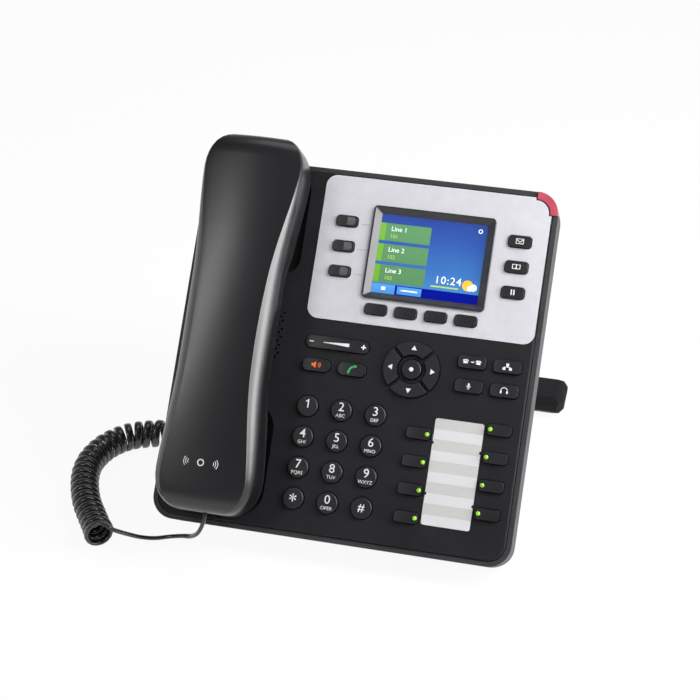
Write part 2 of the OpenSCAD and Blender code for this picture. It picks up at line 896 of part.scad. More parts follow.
// ---- handset: two lofted shells that meet at a parting line
function ease(t) = let (k = max(0, min(1, t))) k * k * (3 - 2 * k);
function round_off(d, r, keep) = d >= r ? 1 : keep + (1 - keep) * sqrt(1 - pow(1 - max(0, d) / r, 2));
function end_gap(v) = min(v - hs_v0, hs_v1 - v);
function middle(v) = 1 - ease((abs(v - hs_mid) - 24) / 62);
function half_w(v) = (hs_w + (hs_waist - hs_w) * middle(v)) / 2
    * round_off(end_gap(v), end_r, end_keep);
function part_n(v) = part_end + (part_mid - part_end) * middle(v);
function back_n(v) = hs_end_top + (hs_top - hs_end_top) * cos(90 * abs(v - hs_mid) / (hs_l / 2));
function top_n(v) = part_n(v)
    + (back_n(v) - part_n(v)) * round_off(end_gap(v), drop_r, drop_keep);
function cup_n(v) = v > hs_mid
    ? cup_bottom + (finger_gap - cup_bottom) * ease((ear_in - v) / cup_slope)
        + (overhang - cup_bottom) * ease((v - ear_out) / end_slope)
    : cup_bottom + (finger_gap - cup_bottom) * ease((v - mouth_in) / cup_slope)
        + (overhang - cup_bottom) * ease((mouth_out - v) / end_slope);
function low_n(v) = part_n(v)
    - (part_n(v) - cup_n(v)) * round_off(end_gap(v), drop_r, drop_keep);

// stations along the handset, closer together at its rounded ends
function stations(in) = let (a = hs_v0 + in, b = hs_v1 - in, r = end_r - in) [
    for (i = [0:end_steps - 1]) a + r * (1 - cos(90 * i / end_steps)),
    for (i = [0:mid_steps]) a + r + (b - a - 2 * r) * i / mid_steps,
    for (i = [end_steps - 1:-1:0]) b - r * (1 - cos(90 * i / end_steps))
];

// one ring of points from the left edge over the section to the right edge
function ring(shape, v, in, up) = let (
    w = half_w(v) - in,
    base = part_n(v),
    rise = (up ? top_n(v) - base : base - low_n(v)) - in,
    k = len(shape) - 1
) [
    for (i = [0:2 * k]) let (
        q = i <= k ? shape[i] : shape[2 * k - i],
        sign = i <= k ? -1 : 1
    ) [lane_x + sign * q[0] * w, v, base + (up ? 1 : -1) * q[1] * rise]
];

function top_rings() = [for (v = stations(0)) ring(top_shape, v, 0, true)];

// closed shell: outer skin, inner skin, two end walls and the rim at the parting line
module shell(shape, up, wall) {
    outer = stations(0);
    inner = stations(wall);
    rows = len(outer);
    cols = 2 * len(shape) - 1;
    pts = concat(
        [for (v = outer) each ring(shape, v, 0, up)],
        [for (v = inner) each ring(shape, v, wall, up)]
    );
    skin_in = rows * cols;
    function id(layer, i, j) = layer * skin_in + i * cols + j;
    faces = concat(
        [for (i = [0:rows - 2], j = [0:cols - 2]) each [
            [id(0, i, j), id(0, i + 1, j), id(0, i, j + 1)],
            [id(0, i + 1, j), id(0, i + 1, j + 1), id(0, i, j + 1)],
            [id(1, i, j), id(1, i, j + 1), id(1, i + 1, j)],
            [id(1, i + 1, j), id(1, i, j + 1), id(1, i + 1, j + 1)]
        ]],
        [for (j = [1:cols - 2]) each [
            [id(0, 0, 0), id(0, 0, j), id(0, 0, j + 1)],
            [id(0, rows - 1, 0), id(0, rows - 1, j + 1), id(0, rows - 1, j)],
            [id(1, 0, 0), id(1, 0, j + 1), id(1, 0, j)],
            [id(1, rows - 1, 0), id(1, rows - 1, j), id(1, rows - 1, j + 1)]
        ]],
        [for (i = [0:rows - 2]) each [
            [id(0, i, 0), id(1, i, 0), id(0, i + 1, 0)],
            [id(1, i, 0), id(1, i + 1, 0), id(0, i + 1, 0)],
            [id(0, i, cols - 1), id(0, i + 1, cols - 1), id(1, i, cols - 1)],
            [id(1, i, cols - 1), id(0, i + 1, cols - 1), id(1, i + 1, cols - 1)]
        ]],
        [
            [id(0, 0, 0), id(0, 0, cols - 1), id(1, 0, 0)],
            [id(1, 0, 0), id(0, 0, cols - 1), id(1, 0, cols - 1)],
            [id(0, rows - 1, 0), id(1, rows - 1, 0), id(0, rows - 1, cols - 1)],
            [id(1, rows - 1, 0), id(1, rows - 1, cols - 1), id(0, rows - 1, cols - 1)]
        ]
    );
    polyhedron(pts, up ? faces : [for (f = faces) [f[2], f[1], f[0]]]);
}

module handset_top_shell() {
    color("#1a1b1d") seat() shell(top_shape, true, hs_wall);
}

module handset_bottom_shell() {
    color("#202124") seat() shell(low_shape, false, hs_wall);
}

module handset_capsules() {
    floor_n = cup_bottom + hs_wall + capsule_gap;
    color("#8d8f93") seat() {
        at([lane_x, ear_v], floor_n) difference() {
            cylinder(d = receiver_d, h = 7);
            translate([0, 0, 2]) cylinder(d = receiver_d - 6, h = 2.5);
        }
        at([lane_x, mouth_v], floor_n) cylinder(d = mic_d, h = 5);
    }
}

// ---- cord
function unit(a) = a / norm(a);
function smooth_route(p, n) = let (m = len(p)) [
    for (i = [0:m - 2]) for (t = [0:n - 1]) let (
        u = t / n,
        a = p[max(0, i - 1)],
        b = p[i],
        d = p[i + 1],
        e = p[min(m - 1, i + 2)]
    ) 0.5 * (2 * b + (d - a) * u + (2 * a - 5 * b + 4 * d - e) * u * u
        + (3 * b - a - 3 * d + e) * u * u * u),
    p[m - 1]
];

module tube(path, d, sides) {
    n = len(path);
    dirs = [for (i = [0:n - 1]) unit(path[min(n - 1, i + 1)] - path[max(0, i - 1)])];
    pts = [for (i = [0:n - 1]) let (
        t = dirs[i],
        a = unit(cross(t, abs(t[2]) > 0.9 ? [0, 1, 0] : [0, 0, 1])),
        b = cross(a, t)
    ) for (k = [0:sides - 1]) path[i] + d / 2 * (cos(360 * k / sides) * a + sin(360 * k / sides) * b)];
    faces = concat(
        [[for (k = [sides - 1:-1:0]) k]],
        [for (i = [0:n - 2], k = [0:sides - 1]) let (k2 = (k + 1) % sides) each [
            [i * sides + k, i * sides + k2, (i + 1) * sides + k],
            [i * sides + k2, (i + 1) * sides + k2, (i + 1) * sides + k]
        ]],
        [[for (k = [0:sides - 1]) (n - 1) * sides + k]]
    );
    polyhedron(pts, [for (f = faces) [for (k = [len(f) - 1:-1:0]) f[k]]]);
}

module cord_lead() {
    color("#111112") on_desk() tube(smooth_route(route_lead, 4), cord_d, cord_sides);
}

module cord_coil() {
    color("#151516") on_desk() tube(smooth_route(route_coil, 4), coil_d, coil_sides);
}

module cord_tail() {
    color("#111112") on_desk() tube(smooth_route(route_tail, 4), cord_d, cord_sides);
}

// ---- keys, one module each
module dark() {
    color("#1c1d1f") seat() children();
}

module line_key_1() { dark() at(line_at(0)) pill_key(line_size); }
module line_key_2() { dark() at(line_at(1)) pill_key(line_size); }
module line_key_3() { dark() at(line_at(2)) pill_key(line_size); }
module message_key() { dark() at(feature_at(0)) pill_key(feature_size); }
module phonebook_key() { dark() at(feature_at(1)) pill_key(feature_size); }
module hold_key() { dark() at(feature_at(2)) pill_key(feature_size); }
module soft_key_1() { dark() at(soft_at(0)) pill_key(soft_size); }
module soft_key_2() { dark() at(soft_at(1)) pill_key(soft_size); }
module soft_key_3() { dark() at(soft_at(2)) pill_key(soft_size); }
module soft_key_4() { dark() at(soft_at(3)) pill_key(soft_size); }
module nav_up() { dark() at(nav_at) arrow_key(0); }
module nav_left() { dark() at(nav_at) arrow_key(90); }
module nav_down() { dark() at(nav_at) arrow_key(180); }
module nav_right() { dark() at(nav_at) arrow_key(270); }
module nav_ok() {
    dark() at(nav_at) {
        edge = 0.9;
        rotate_extrude() {
            translate([0, -flange_top - eps]) square([ok_r, flange_top + key_rise - edge + eps]);
            translate([0, -flange_top - eps]) square([ok_r - edge, flange_top + key_rise + eps]);
            translate([ok_r - edge, key_rise - edge]) intersection() {
                circle(edge, $fn = 32);
                square(edge);
            }
        }
        key_back() circle(ok_r + flange_out - 0.1);
    }
}

module volume_rocker() {
    dark() at(rocker_at) {
        crown_r = 120;
        crown_fn = 240;
        intersection() {
            translate([0, 0, -flange_top - eps]) linear_extrude(key_rise + flange_top + eps) {
                round_rect(rocker_size[0] - 0.3, rocker_size[1], rocker_size[2]);
            }
            translate([0, rocker_size[1], key_rise - crown_r]) rotate([90, 0, 0]) {
                cylinder(r = crown_r, h = 2 * rocker_size[1], $fn = crown_fn);
            }
        }
        translate([0, 0, -flange_top - flange_t - 0.6]) linear_extrude(flange_t + 0.7) {
            round_rect(9, rocker_size[1] - 0.4, 1);
        }
        translate([0, 0, -flange_top - flange_t - 0.6]) linear_extrude(flange_t) {
            round_rect(9, rocker_size[1] + 2 * flange_out, 1);
        }
    }
}

module speaker_key() { dark() at(call_at(0)) pill_key(call_size); }
module send_key() { dark() at(call_at(1)) pill_key(call_size); }
module transfer_key() { dark() at(func_at(0)) pill_key(func_size); }
module conference_key() { dark() at(func_at(1)) pill_key(func_size); }
module mute_key() { dark() at(func_at(2)) pill_key(func_size); }
module headset_key() { dark() at(func_at(3)) pill_key(func_size); }
module dial_key_1() { dark() at(dial_at(0)) round_key(dial_d); }
module dial_key_2() { dark() at(dial_at(1)) round_key(dial_d); }
module dial_key_3() { dark() at(dial_at(2)) round_key(dial_d); }
module dial_key_4() { dark() at(dial_at(3)) round_key(dial_d); }
module dial_key_5() { dark() at(dial_at(4)) round_key(dial_d); }
module dial_key_6() { dark() at(dial_at(5)) round_key(dial_d); }
module dial_key_7() { dark() at(dial_at(6)) round_key(dial_d); }
module dial_key_8() { dark() at(dial_at(7)) round_key(dial_d); }
module dial_key_9() { dark() at(dial_at(8)) round_key(dial_d); }
module dial_key_star() { dark() at(dial_at(9)) round_key(dial_d); }
module dial_key_0() { dark() at(dial_at(10)) round_key(dial_d); }
module dial_key_pound() { dark() at(dial_at(11)) round_key(dial_d); }
module blf_key_1() { dark() at(blf_at(0)) pill_key(blf_size); }
module blf_key_2() { dark() at(blf_at(1)) pill_key(blf_size); }
module blf_key_3() { dark() at(blf_at(2)) pill_key(blf_size); }
module blf_key_4() { dark() at(blf_at(3)) pill_key(blf_size); }
module blf_key_5() { dark() at(blf_at(4)) pill_key(blf_size); }
module blf_key_6() { dark() at(blf_at(5)) pill_key(blf_size); }
module blf_key_7() { dark() at(blf_at(6)) pill_key(blf_size); }
module blf_key_8() { dark() at(blf_at(7)) pill_key(blf_size); }

top_housing();
bottom_housing();
display_panel();
lcd_module();
main_board();
message_lamp();
label_card();
loudspeaker();
rubber_feet();
housing_screws();
desk_stand();
hook_switch();
handset_top_shell();
handset_bottom_shell();
handset_capsules();
cord_lead();
cord_coil();
cord_tail();
line_key_1();
line_key_2();
line_key_3();
message_key();
phonebook_key();
hold_key();
soft_key_1();
soft_key_2();
soft_key_3();
soft_key_4();
nav_up();
nav_left();
nav_down();
nav_right();
nav_ok();
volume_rocker();
speaker_key();
send_key();
transfer_key();
conference_key();
mute_key();
headset_key();
dial_key_1();
dial_key_2();
dial_key_3();
dial_key_4();
dial_key_5();
dial_key_6();
dial_key_7();
dial_key_8();
dial_key_9();
dial_key_star();
dial_key_0();
dial_key_pound();
blf_key_1();
blf_key_2();
blf_key_3();
blf_key_4();
blf_key_5();
blf_key_6();
blf_key_7();
blf_key_8();
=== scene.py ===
import json
import math

import bpy
from mathutils import Matrix, Vector
from mathutils.bvhtree import BVHTree

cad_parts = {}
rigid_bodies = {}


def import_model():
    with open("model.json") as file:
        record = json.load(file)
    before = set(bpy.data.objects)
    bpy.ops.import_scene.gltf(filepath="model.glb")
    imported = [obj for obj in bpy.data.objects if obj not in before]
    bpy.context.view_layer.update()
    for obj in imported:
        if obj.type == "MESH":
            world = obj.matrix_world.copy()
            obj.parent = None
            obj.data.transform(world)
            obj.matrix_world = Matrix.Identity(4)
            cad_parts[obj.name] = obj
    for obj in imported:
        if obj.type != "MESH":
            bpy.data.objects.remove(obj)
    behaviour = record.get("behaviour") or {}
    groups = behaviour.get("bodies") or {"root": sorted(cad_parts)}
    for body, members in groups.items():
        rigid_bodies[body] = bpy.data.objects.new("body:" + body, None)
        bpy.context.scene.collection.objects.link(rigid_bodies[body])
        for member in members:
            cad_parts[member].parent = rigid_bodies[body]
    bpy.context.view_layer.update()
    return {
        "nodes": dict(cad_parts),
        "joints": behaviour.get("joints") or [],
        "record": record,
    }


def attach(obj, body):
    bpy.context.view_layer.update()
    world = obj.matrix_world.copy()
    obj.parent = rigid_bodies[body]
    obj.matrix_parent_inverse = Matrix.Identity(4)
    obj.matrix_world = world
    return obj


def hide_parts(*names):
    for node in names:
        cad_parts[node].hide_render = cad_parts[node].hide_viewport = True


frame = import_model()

MM = 0.001

# The phone is laid out flat, face up, in millimetres: x to the right, v up the face, n off the face.
lift = next(j for j in frame["joints"] if j["name"] == "handset_lift")
TILT = math.atan2(-lift["axis"][1], lift["axis"][2])
DESK_RISE = 16.06
CENTRE_Y = 81.513
FLAT = (
    Matrix.Translation((0, -CENTRE_Y * MM, DESK_RISE * MM))
    @ Matrix.Rotation(TILT, 4, "X")
    @ Matrix.Scale(MM, 4)
)
UNFLAT = FLAT.inverted()
BODY_OF = {
    node: body
    for body, nodes in frame["record"]["behaviour"]["bodies"].items()
    for node in nodes
}


def flat_box(node):
    """Lowest and highest corner of a part, in the flat layout's millimetres."""
    pts = [UNFLAT @ v.co for v in frame["nodes"][node].data.vertices]
    low = Vector([min(p[i] for p in pts) for i in range(3)])
    high = Vector([max(p[i] for p in pts) for i in range(3)])
    return low, high


def flat_centre(node):
    low, high = flat_box(node)
    return (low + high) / 2


def deselect():
    if bpy.context.object and bpy.context.object.mode != "OBJECT":
        bpy.ops.object.mode_set(mode="OBJECT")
    for o in bpy.context.view_layer.objects:
        o.select_set(False)


def pick(o):
    deselect()
    o.select_set(True)
    bpy.context.view_layer.objects.active = o


def settle(o):
    """Moves a piece's place into its mesh, so that its object sits unturned at the origin."""
    pick(o)
    bpy.ops.object.transform_apply(location=True, rotation=True, scale=True)


def mesh_object(name, verts, faces, smooth_angle):
    """A piece from its points and faces, with outward normals and its soft edges smooth."""
    mesh = bpy.data.meshes.new(name)
    mesh.from_pydata(verts, [], faces)
    o = bpy.data.objects.new(name, mesh)
    bpy.context.scene.collection.objects.link(o)
    pick(o)
    bpy.ops.object.mode_set(mode="EDIT")
    bpy.ops.mesh.select_all(action="SELECT")
    bpy.ops.mesh.normals_make_consistent(inside=False)
    bpy.ops.object.mode_set(mode="OBJECT")
    bpy.ops.object.shade_smooth_by_angle(angle=math.radians(smooth_angle))
    return o


# ---------------------------------------------------------------- materials
def new_material(name):
    m = bpy.data.materials.new(name)
    m.use_nodes = True
    nt = m.node_tree
    shader = next(n for n in nt.nodes if n.type == "BSDF_PRINCIPLED")
    return m, nt, shader


def socket(shader, name, value):
    if name in shader.inputs:
        shader.inputs[name].default_value = value


def noise(nt, coords, scale, detail=3.0, rough=0.55):
    n = nt.nodes.new("ShaderNodeTexNoise")
    n.inputs["Scale"].default_value = scale
    n.inputs["Detail"].default_value = detail
    n.inputs["Roughness"].default_value = rough
    nt.links.new(coords, n.inputs["Vector"])
    return n.outputs["Fac"]


def object_coords(nt):
    return nt.nodes.new("ShaderNodeTexCoord").outputs["Object"]


def ramp(nt, fac, stops):
    r = nt.nodes.new("ShaderNodeValToRGB")
    el = r.color_ramp.elements
    while len(el) < len(stops):
        el.new(0.5)
    for e, (pos, col) in zip(el, stops):
        e.position = pos
        e.color = (*col, 1)
    nt.links.new(fac, r.inputs["Fac"])
    return r.outputs["Color"]


def spread(nt, fac, low, high):
    r = nt.nodes.new("ShaderNodeMapRange")
    r.inputs["To Min"].default_value = low
    r.inputs["To Max"].default_value = high
    nt.links.new(fac, r.inputs["Value"])
    return r.outputs["Result"]


def bump(nt, shader, fac, distance, strength):
    b = nt.nodes.new("ShaderNodeBump")
    b.inputs["Distance"].default_value = distance
    b.inputs["Strength"].default_value = strength
    nt.links.new(fac, b.inputs["Height"])
    nt.links.new(b.outputs["Normal"], shader.inputs["Normal"])
    return b


def edge_wear_and_rim_light(nt, gain=1.0):
    """Pointiness, spread so that sharp edges read 1 and flats 0: worn edges on plastic, a painted rim
    highlight on lenses.
    """
    g = nt.nodes.new("ShaderNodeNewGeometry")
    r = nt.nodes.new("ShaderNodeMapRange")
    r.inputs["From Min"].default_value = 0.53
    r.inputs["From Max"].default_value = 0.66
    r.inputs["To Max"].default_value = gain
    nt.links.new(g.outputs["Pointiness"], r.inputs["Value"])
    return r.outputs["Result"]


def mix_color(nt, fac, a, b):
    m = nt.nodes.new("ShaderNodeMix")
    m.data_type = "RGBA"
    m.inputs[0].default_value = 0.5
    nt.links.new(fac, m.inputs[0])
    for value, slot in ((a, m.inputs[6]), (b, m.inputs[7])):
        if isinstance(value, tuple):
            slot.default_value = (*value, 1)
        else:
            nt.links.new(value, slot)
    return m.outputs[2]


def plastic(name, dark, light, rough=(0.42, 0.55), grain=5200, depth=0.00004, strength=0.35,
            specular=0.35, wear=0.5, worn=None, coat=0.0):
    """Moulded plastic: fine spark-eroded grain, faint blotches, slightly polished edges."""
    m, nt, shader = new_material(name)
    coords = object_coords(nt)
    blotch = noise(nt, coords, 38, 4)
    base = ramp(nt, blotch, [(0.3, dark), (0.7, light)])
    if wear:
        worn = worn or tuple(min(1, 1.9 * c + 0.006) for c in light)
        base = mix_color(nt, edge_wear_and_rim_light(nt, wear), base, worn)
    nt.links.new(base, shader.inputs["Base Color"])
    nt.links.new(spread(nt, noise(nt, coords, 90, 2), *rough), shader.inputs["Roughness"])
    bump(nt, shader, noise(nt, coords, grain, 2, 0.6), depth, strength)
    socket(shader, "Specular IOR Level", specular)
    socket(shader, "Coat Weight", coat)
    socket(shader, "Coat Roughness", 0.12)
    return m


def make_brushed(name, dark, light, along=(1, 60, 60), rough=(0.3, 0.42), metallic=0.6):
    m, nt, shader = new_material(name)
    coords = object_coords(nt)
    turn = nt.nodes.new("ShaderNodeMapping")
    turn.inputs["Rotation"].default_value = (-TILT, 0, 0)
    turn.inputs["Scale"].default_value = along
    nt.links.new(coords, turn.inputs["Vector"])
    streak = noise(nt, turn.outputs["Vector"], 160, 3)
    speck = noise(nt, coords, 4200, 2)
    both = nt.nodes.new("ShaderNodeMath")
    both.operation = "ADD"
    nt.links.new(spread(nt, streak, 0, 0.5), both.inputs[0])
    nt.links.new(spread(nt, speck, 0, 0.5), both.inputs[1])
    base = ramp(nt, both.outputs[0], [(0.3, dark), (0.7, light)])
    nt.links.new(base, shader.inputs["Base Color"])
    nt.links.new(spread(nt, both.outputs[0], *rough), shader.inputs["Roughness"])
    bump(nt, shader, speck, 0.00002, 0.25)
    socket(shader, "Metallic", metallic)
    return m


def printed(name, color, rough=0.55, glow=0.0, noise_by=0.12):
    """Ink, card or a lit sign: one hue with a little unevenness; on key legends the glow is painted glow."""
    m, nt, shader = new_material(name)
    coords = object_coords(nt)
    low = tuple(c * (1 - noise_by) for c in color)
    base = ramp(nt, noise(nt, coords, 900, 3), [(0.35, low), (0.65, color)])
    nt.links.new(base, shader.inputs["Base Color"])
    nt.links.new(spread(nt, noise(nt, coords, 300, 2), rough * 0.85, rough), shader.inputs["Roughness"])
    bump(nt, shader, noise(nt, coords, 3000, 2), 0.00001, 0.2)
    if glow:
        nt.links.new(base, shader.inputs["Emission Color"])
        socket(shader, "Emission Strength", glow)
    socket(shader, "Specular IOR Level", 0.3)
    return m


def translucent(name, color, deep, glow=0.0, rough=0.18):
    """Lens plastic: a random tone between a deep and a lighter colour, with its edges made brighter by a
    painted highlight.
    """
    m, nt, shader = new_material(name)
    coords = object_coords(nt)
    base = ramp(nt, noise(nt, coords, 260, 3), [(0.3, deep), (0.7, color)])
    # painted highlight: the lens edges are mixed towards a lighter colour, standing in for light catching the
    # rims
    lit = mix_color(nt, edge_wear_and_rim_light(nt, 0.7), base, tuple(min(1, c * 1.5 + 0.12) for c in color))
    nt.links.new(lit, shader.inputs["Base Color"])
    nt.links.new(spread(nt, noise(nt, coords, 500, 2), rough, rough + 0.12), shader.inputs["Roughness"])
    bump(nt, shader, noise(nt, coords, 1800, 2), 0.00002, 0.15)
    if glow:
        nt.links.new(lit, shader.inputs["Emission Color"])
        socket(shader, "Emission Strength", glow)
    socket(shader, "Coat Weight", 0.5)
    socket(shader, "Coat Roughness", 0.08)
    return m


FACE = plastic("casing_charcoal_grain", (0.0105, 0.0108, 0.0125), (0.0145, 0.015, 0.017), (0.5, 0.6),
               specular=0.2, wear=0)
REAR = plastic("rear_casing_grey_grain", (0.028, 0.0285, 0.031), (0.038, 0.0388, 0.042), (0.42, 0.55),
               specular=0.35, wear=0)
STAND = plastic("stand_black_grain", (0.008, 0.0083, 0.0095), (0.012, 0.0124, 0.014), (0.4, 0.52),
                specular=0.15, wear=0)
SHELL = plastic("handset_satin_black", (0.006, 0.0062, 0.0075), (0.0075, 0.0078, 0.0092),
                (0.27, 0.31), grain=7000, depth=0.00001, strength=0.1, specular=0.7, wear=0)
UNDER = plastic("handset_under_satin", (0.012, 0.0125, 0.0145), (0.017, 0.0175, 0.02),
                (0.34, 0.42), grain=7000, depth=0.00002, strength=0.25, specular=0.45)
KEY = plastic("key_soft_touch_black", (0.0075, 0.0078, 0.009), (0.0105, 0.011, 0.0125), (0.36, 0.46),
              grain=6500, depth=0.00002, strength=0.2, specular=0.45, wear=0.8)
BEZEL = plastic("bezel_piano_black", (0.016, 0.016, 0.018), (0.022, 0.022, 0.025), (0.2, 0.28),
                grain=7000, depth=0.00001, strength=0.1, specular=0.6)
# painted highlight: a lighter grey copy of the bezel's black, for the left and right sloped faces that light
# falls on
BEZEL_SIDE_PAINTED_LIGHT = plastic("bezel_side_painted_highlight", (0.06, 0.06, 0.066), (0.09, 0.09, 0.098), (0.3, 0.4),
                     grain=4000, depth=0.00002, strength=0.2, specular=0.5, wear=0)
RUBBER = plastic("foot_rubber", (0.012, 0.012, 0.012), (0.02, 0.02, 0.02), (0.75, 0.9), grain=3000,
                 specular=0.25, wear=0.2)
HOOK = plastic("hook_acetal_black", (0.01, 0.01, 0.011), (0.014, 0.014, 0.016), (0.3, 0.4))
BOARD = plastic("board_solder_mask", (0.006, 0.045, 0.016), (0.01, 0.07, 0.025), (0.3, 0.45),
                grain=900, specular=0.5)
SILVER = make_brushed("panel_satin_silver", (0.56, 0.56, 0.595), (0.65, 0.65, 0.685), (1, 1, 1),
                      (0.36, 0.46), 0.12)
STEEL = make_brushed("zinc_steel", (0.42, 0.42, 0.44), (0.6, 0.6, 0.62), (1, 1, 1), (0.25, 0.4), 1.0)
CAPSULE = make_brushed("capsule_tin", (0.5, 0.5, 0.5), (0.66, 0.66, 0.66), (1, 1, 1), (0.3, 0.4), 1.0)
LAMP = translucent("lamp_red_lens", (0.46, 0.06, 0.1), (0.34, 0.035, 0.065), glow=0.05, rough=0.25)
LED = translucent("led_green_lens", (0.33, 0.68, 0.03), (0.17, 0.42, 0.012), glow=0.35)
LENS = translucent("line_key_lens", (0.02, 0.022, 0.026), (0.012, 0.013, 0.016), rough=0.2)
INK = printed("legend_white_ink", (0.82, 0.82, 0.84), 0.5)
INK_GREY = printed("legend_grey_ink", (0.33, 0.33, 0.35), 0.5)
# painted glow: the orange and green key legends emit light, though they are printed ink and no lamp
ORANGE_INK_PAINTED_GLOW = printed("legend_orange_ink_painted_glow", (0.78, 0.16, 0.035), 0.5, glow=0.15)
GREEN_INK_PAINTED_GLOW = printed("legend_green_ink_painted_glow", (0.06, 0.42, 0.14), 0.5, glow=0.15)
CARD = printed("label_card_grey", (0.545, 0.54, 0.53), 0.7, noise_by=0.04)
CARD_WHITE = printed("label_band_white", (0.66, 0.65, 0.66), 0.7, noise_by=0.03)
CORD = plastic("cord_black_vinyl", (0.008, 0.008, 0.0095), (0.012, 0.012, 0.014), (0.2, 0.27),
               grain=2500, depth=0.00002, strength=0.12, specular=0.8, wear=0.3)
PLUG = translucent("plug_clear_smoke", (0.10, 0.10, 0.11), (0.06, 0.06, 0.065), rough=0.15)


def screen_paint(name, stops, glow=0.42):
    """A lit picture: colour runs up the display, with a slow diagonal shimmer."""
    m, nt, shader = new_material(name)
    coords = object_coords(nt)
    low, high = flat_box("lcd_module")
    turn = nt.nodes.new("ShaderNodeMapping")
    turn.vector_type = "TEXTURE"
    turn.inputs["Location"].default_value = FLAT @ Vector((0, low.y, high.z))
    turn.inputs["Rotation"].default_value = (TILT, 0, 0)
    height = (high.y - low.y) * MM
    turn.inputs["Scale"].default_value = (height, height, height)
    nt.links.new(coords, turn.inputs["Vector"])
    split = nt.nodes.new("ShaderNodeSeparateXYZ")
    nt.links.new(turn.outputs["Vector"], split.inputs[0])
    sway = nt.nodes.new("ShaderNodeMath")
    sway.operation = "MULTIPLY_ADD"
    sway.inputs[1].default_value = 0.18
    nt.links.new(noise(nt, coords, 28, 1), sway.inputs[0])
    nt.links.new(split.outputs["Y"], sway.inputs[2])
    shift = nt.nodes.new("ShaderNodeMath")
    shift.operation = "SUBTRACT"
    shift.inputs[1].default_value = 0.09
    nt.links.new(sway.outputs[0], shift.inputs[0])
    base = ramp(nt, shift.outputs[0], stops)
    nt.links.new(base, shader.inputs["Base Color"])
    nt.links.new(base, shader.inputs["Emission Color"])
    nt.links.new(spread(nt, noise(nt, coords, 600, 2), 0.16, 0.2), shader.inputs["Roughness"])
    bump(nt, shader, noise(nt, coords, 5000, 1), 0.000005, 0.1)
    socket(shader, "Emission Strength", glow)
    socket(shader, "Specular IOR Level", 0.35)
    return m


SKY = screen_paint("screen_blue", [(0.05, (0.055, 0.21, 0.46)), (0.35, (0.036, 0.13, 0.37)),
                                   (0.75, (0.026, 0.07, 0.29)), (0.98, (0.022, 0.048, 0.24))])
TILE = screen_paint("screen_tile_green", [(0.1, (0.08, 0.2, 0.085)), (0.9, (0.1, 0.25, 0.11))])
TILE_EDGE = screen_paint("screen_tile_edge", [(0.1, (0.12, 0.32, 0.025)), (0.9, (0.16, 0.38, 0.04))])
BAR_DARK = screen_paint("screen_bar_navy", [(0.0, (0.0, 0.004, 0.22)), (1.0, (0.0, 0.006, 0.26))])
BAR_LIGHT = screen_paint("screen_bar_blue", [(0.0, (0.045, 0.2, 0.55)), (0.16, (0.08, 0.28, 0.6))])
GLYPH = printed("screen_glyph_white", (0.8, 0.85, 0.88), 0.3, glow=0.5)
GLYPH_LIME = printed("screen_glyph_lime", (0.35, 0.55, 0.1), 0.3, glow=0.5)
SUN = printed("screen_glyph_sun", (0.9, 0.42, 0.04), 0.3, glow=0.6)

# ---------------------------------------------------------------- camera, floor and light
TARGET = Vector((-2.6, -11.5, 91.2)) * MM
EYE = Vector((166.4, -753.4, 632.0)) * MM
camera = bpy.data.objects.new("camera", bpy.data.cameras.new("camera"))
bpy.context.scene.collection.objects.link(camera)
camera.data.sensor_width = 36
camera.data.lens = 90
camera.data.clip_end = 20
camera.location = EYE
camera.rotation_euler = (EYE - TARGET).to_track_quat("Z", "Y").to_euler()
bpy.context.scene.camera = camera
bpy.context.scene.view_settings.view_transform = "Standard"


FLOOR_GLOW = 0.93


def floor_material():
    """White paper that stays white to the eye and in reflections, yet takes a faint shadow."""
    m, nt, shader = new_material("floor_white")
    coords = object_coords(nt)
    base = ramp(nt, noise(nt, coords, 6, 2), [(0.3, (0.93, 0.93, 0.93)), (0.7, (0.95, 0.95, 0.95))])
    nt.links.new(base, shader.inputs["Base Color"])
    socket(shader, "Roughness", 0.9)
    socket(shader, "Specular IOR Level", 0.1)
    out = next(n for n in nt.nodes if n.type == "OUTPUT_MATERIAL")
    path = nt.nodes.new("ShaderNodeLightPath")
    most = nt.nodes.new("ShaderNodeMath")
    most.operation = "MAXIMUM"
    nt.links.new(path.outputs["Is Camera Ray"], most.inputs[0])
    nt.links.new(path.outputs["Is Transmission Ray"], most.inputs[1])
    again = nt.nodes.new("ShaderNodeMath")
    again.operation = "MAXIMUM"
    nt.links.new(most.outputs[0], again.inputs[0])
    nt.links.new(path.outputs["Is Glossy Ray"], again.inputs[1])
    share = nt.nodes.new("ShaderNodeMath")
    share.operation = "MULTIPLY"
    share.inputs[1].default_value = FLOOR_GLOW
    nt.links.new(again.outputs[0], share.inputs[0])
    glow = nt.nodes.new("ShaderNodeEmission")
    glow.inputs["Strength"].default_value = 1.0
    mix = nt.nodes.new("ShaderNodeMixShader")
    nt.links.new(share.outputs[0], mix.inputs[0])
    nt.links.new(shader.outputs[0], mix.inputs[1])
    nt.links.new(glow.outputs[0], mix.inputs[2])
    nt.links.new(mix.outputs[0], out.inputs["Surface"])
    return m


deselect()
bpy.ops.mesh.primitive_plane_add(size=14, location=(0, 0, 0))
floor = bpy.context.object
floor.name = "floor"
floor.data.materials.append(floor_material())

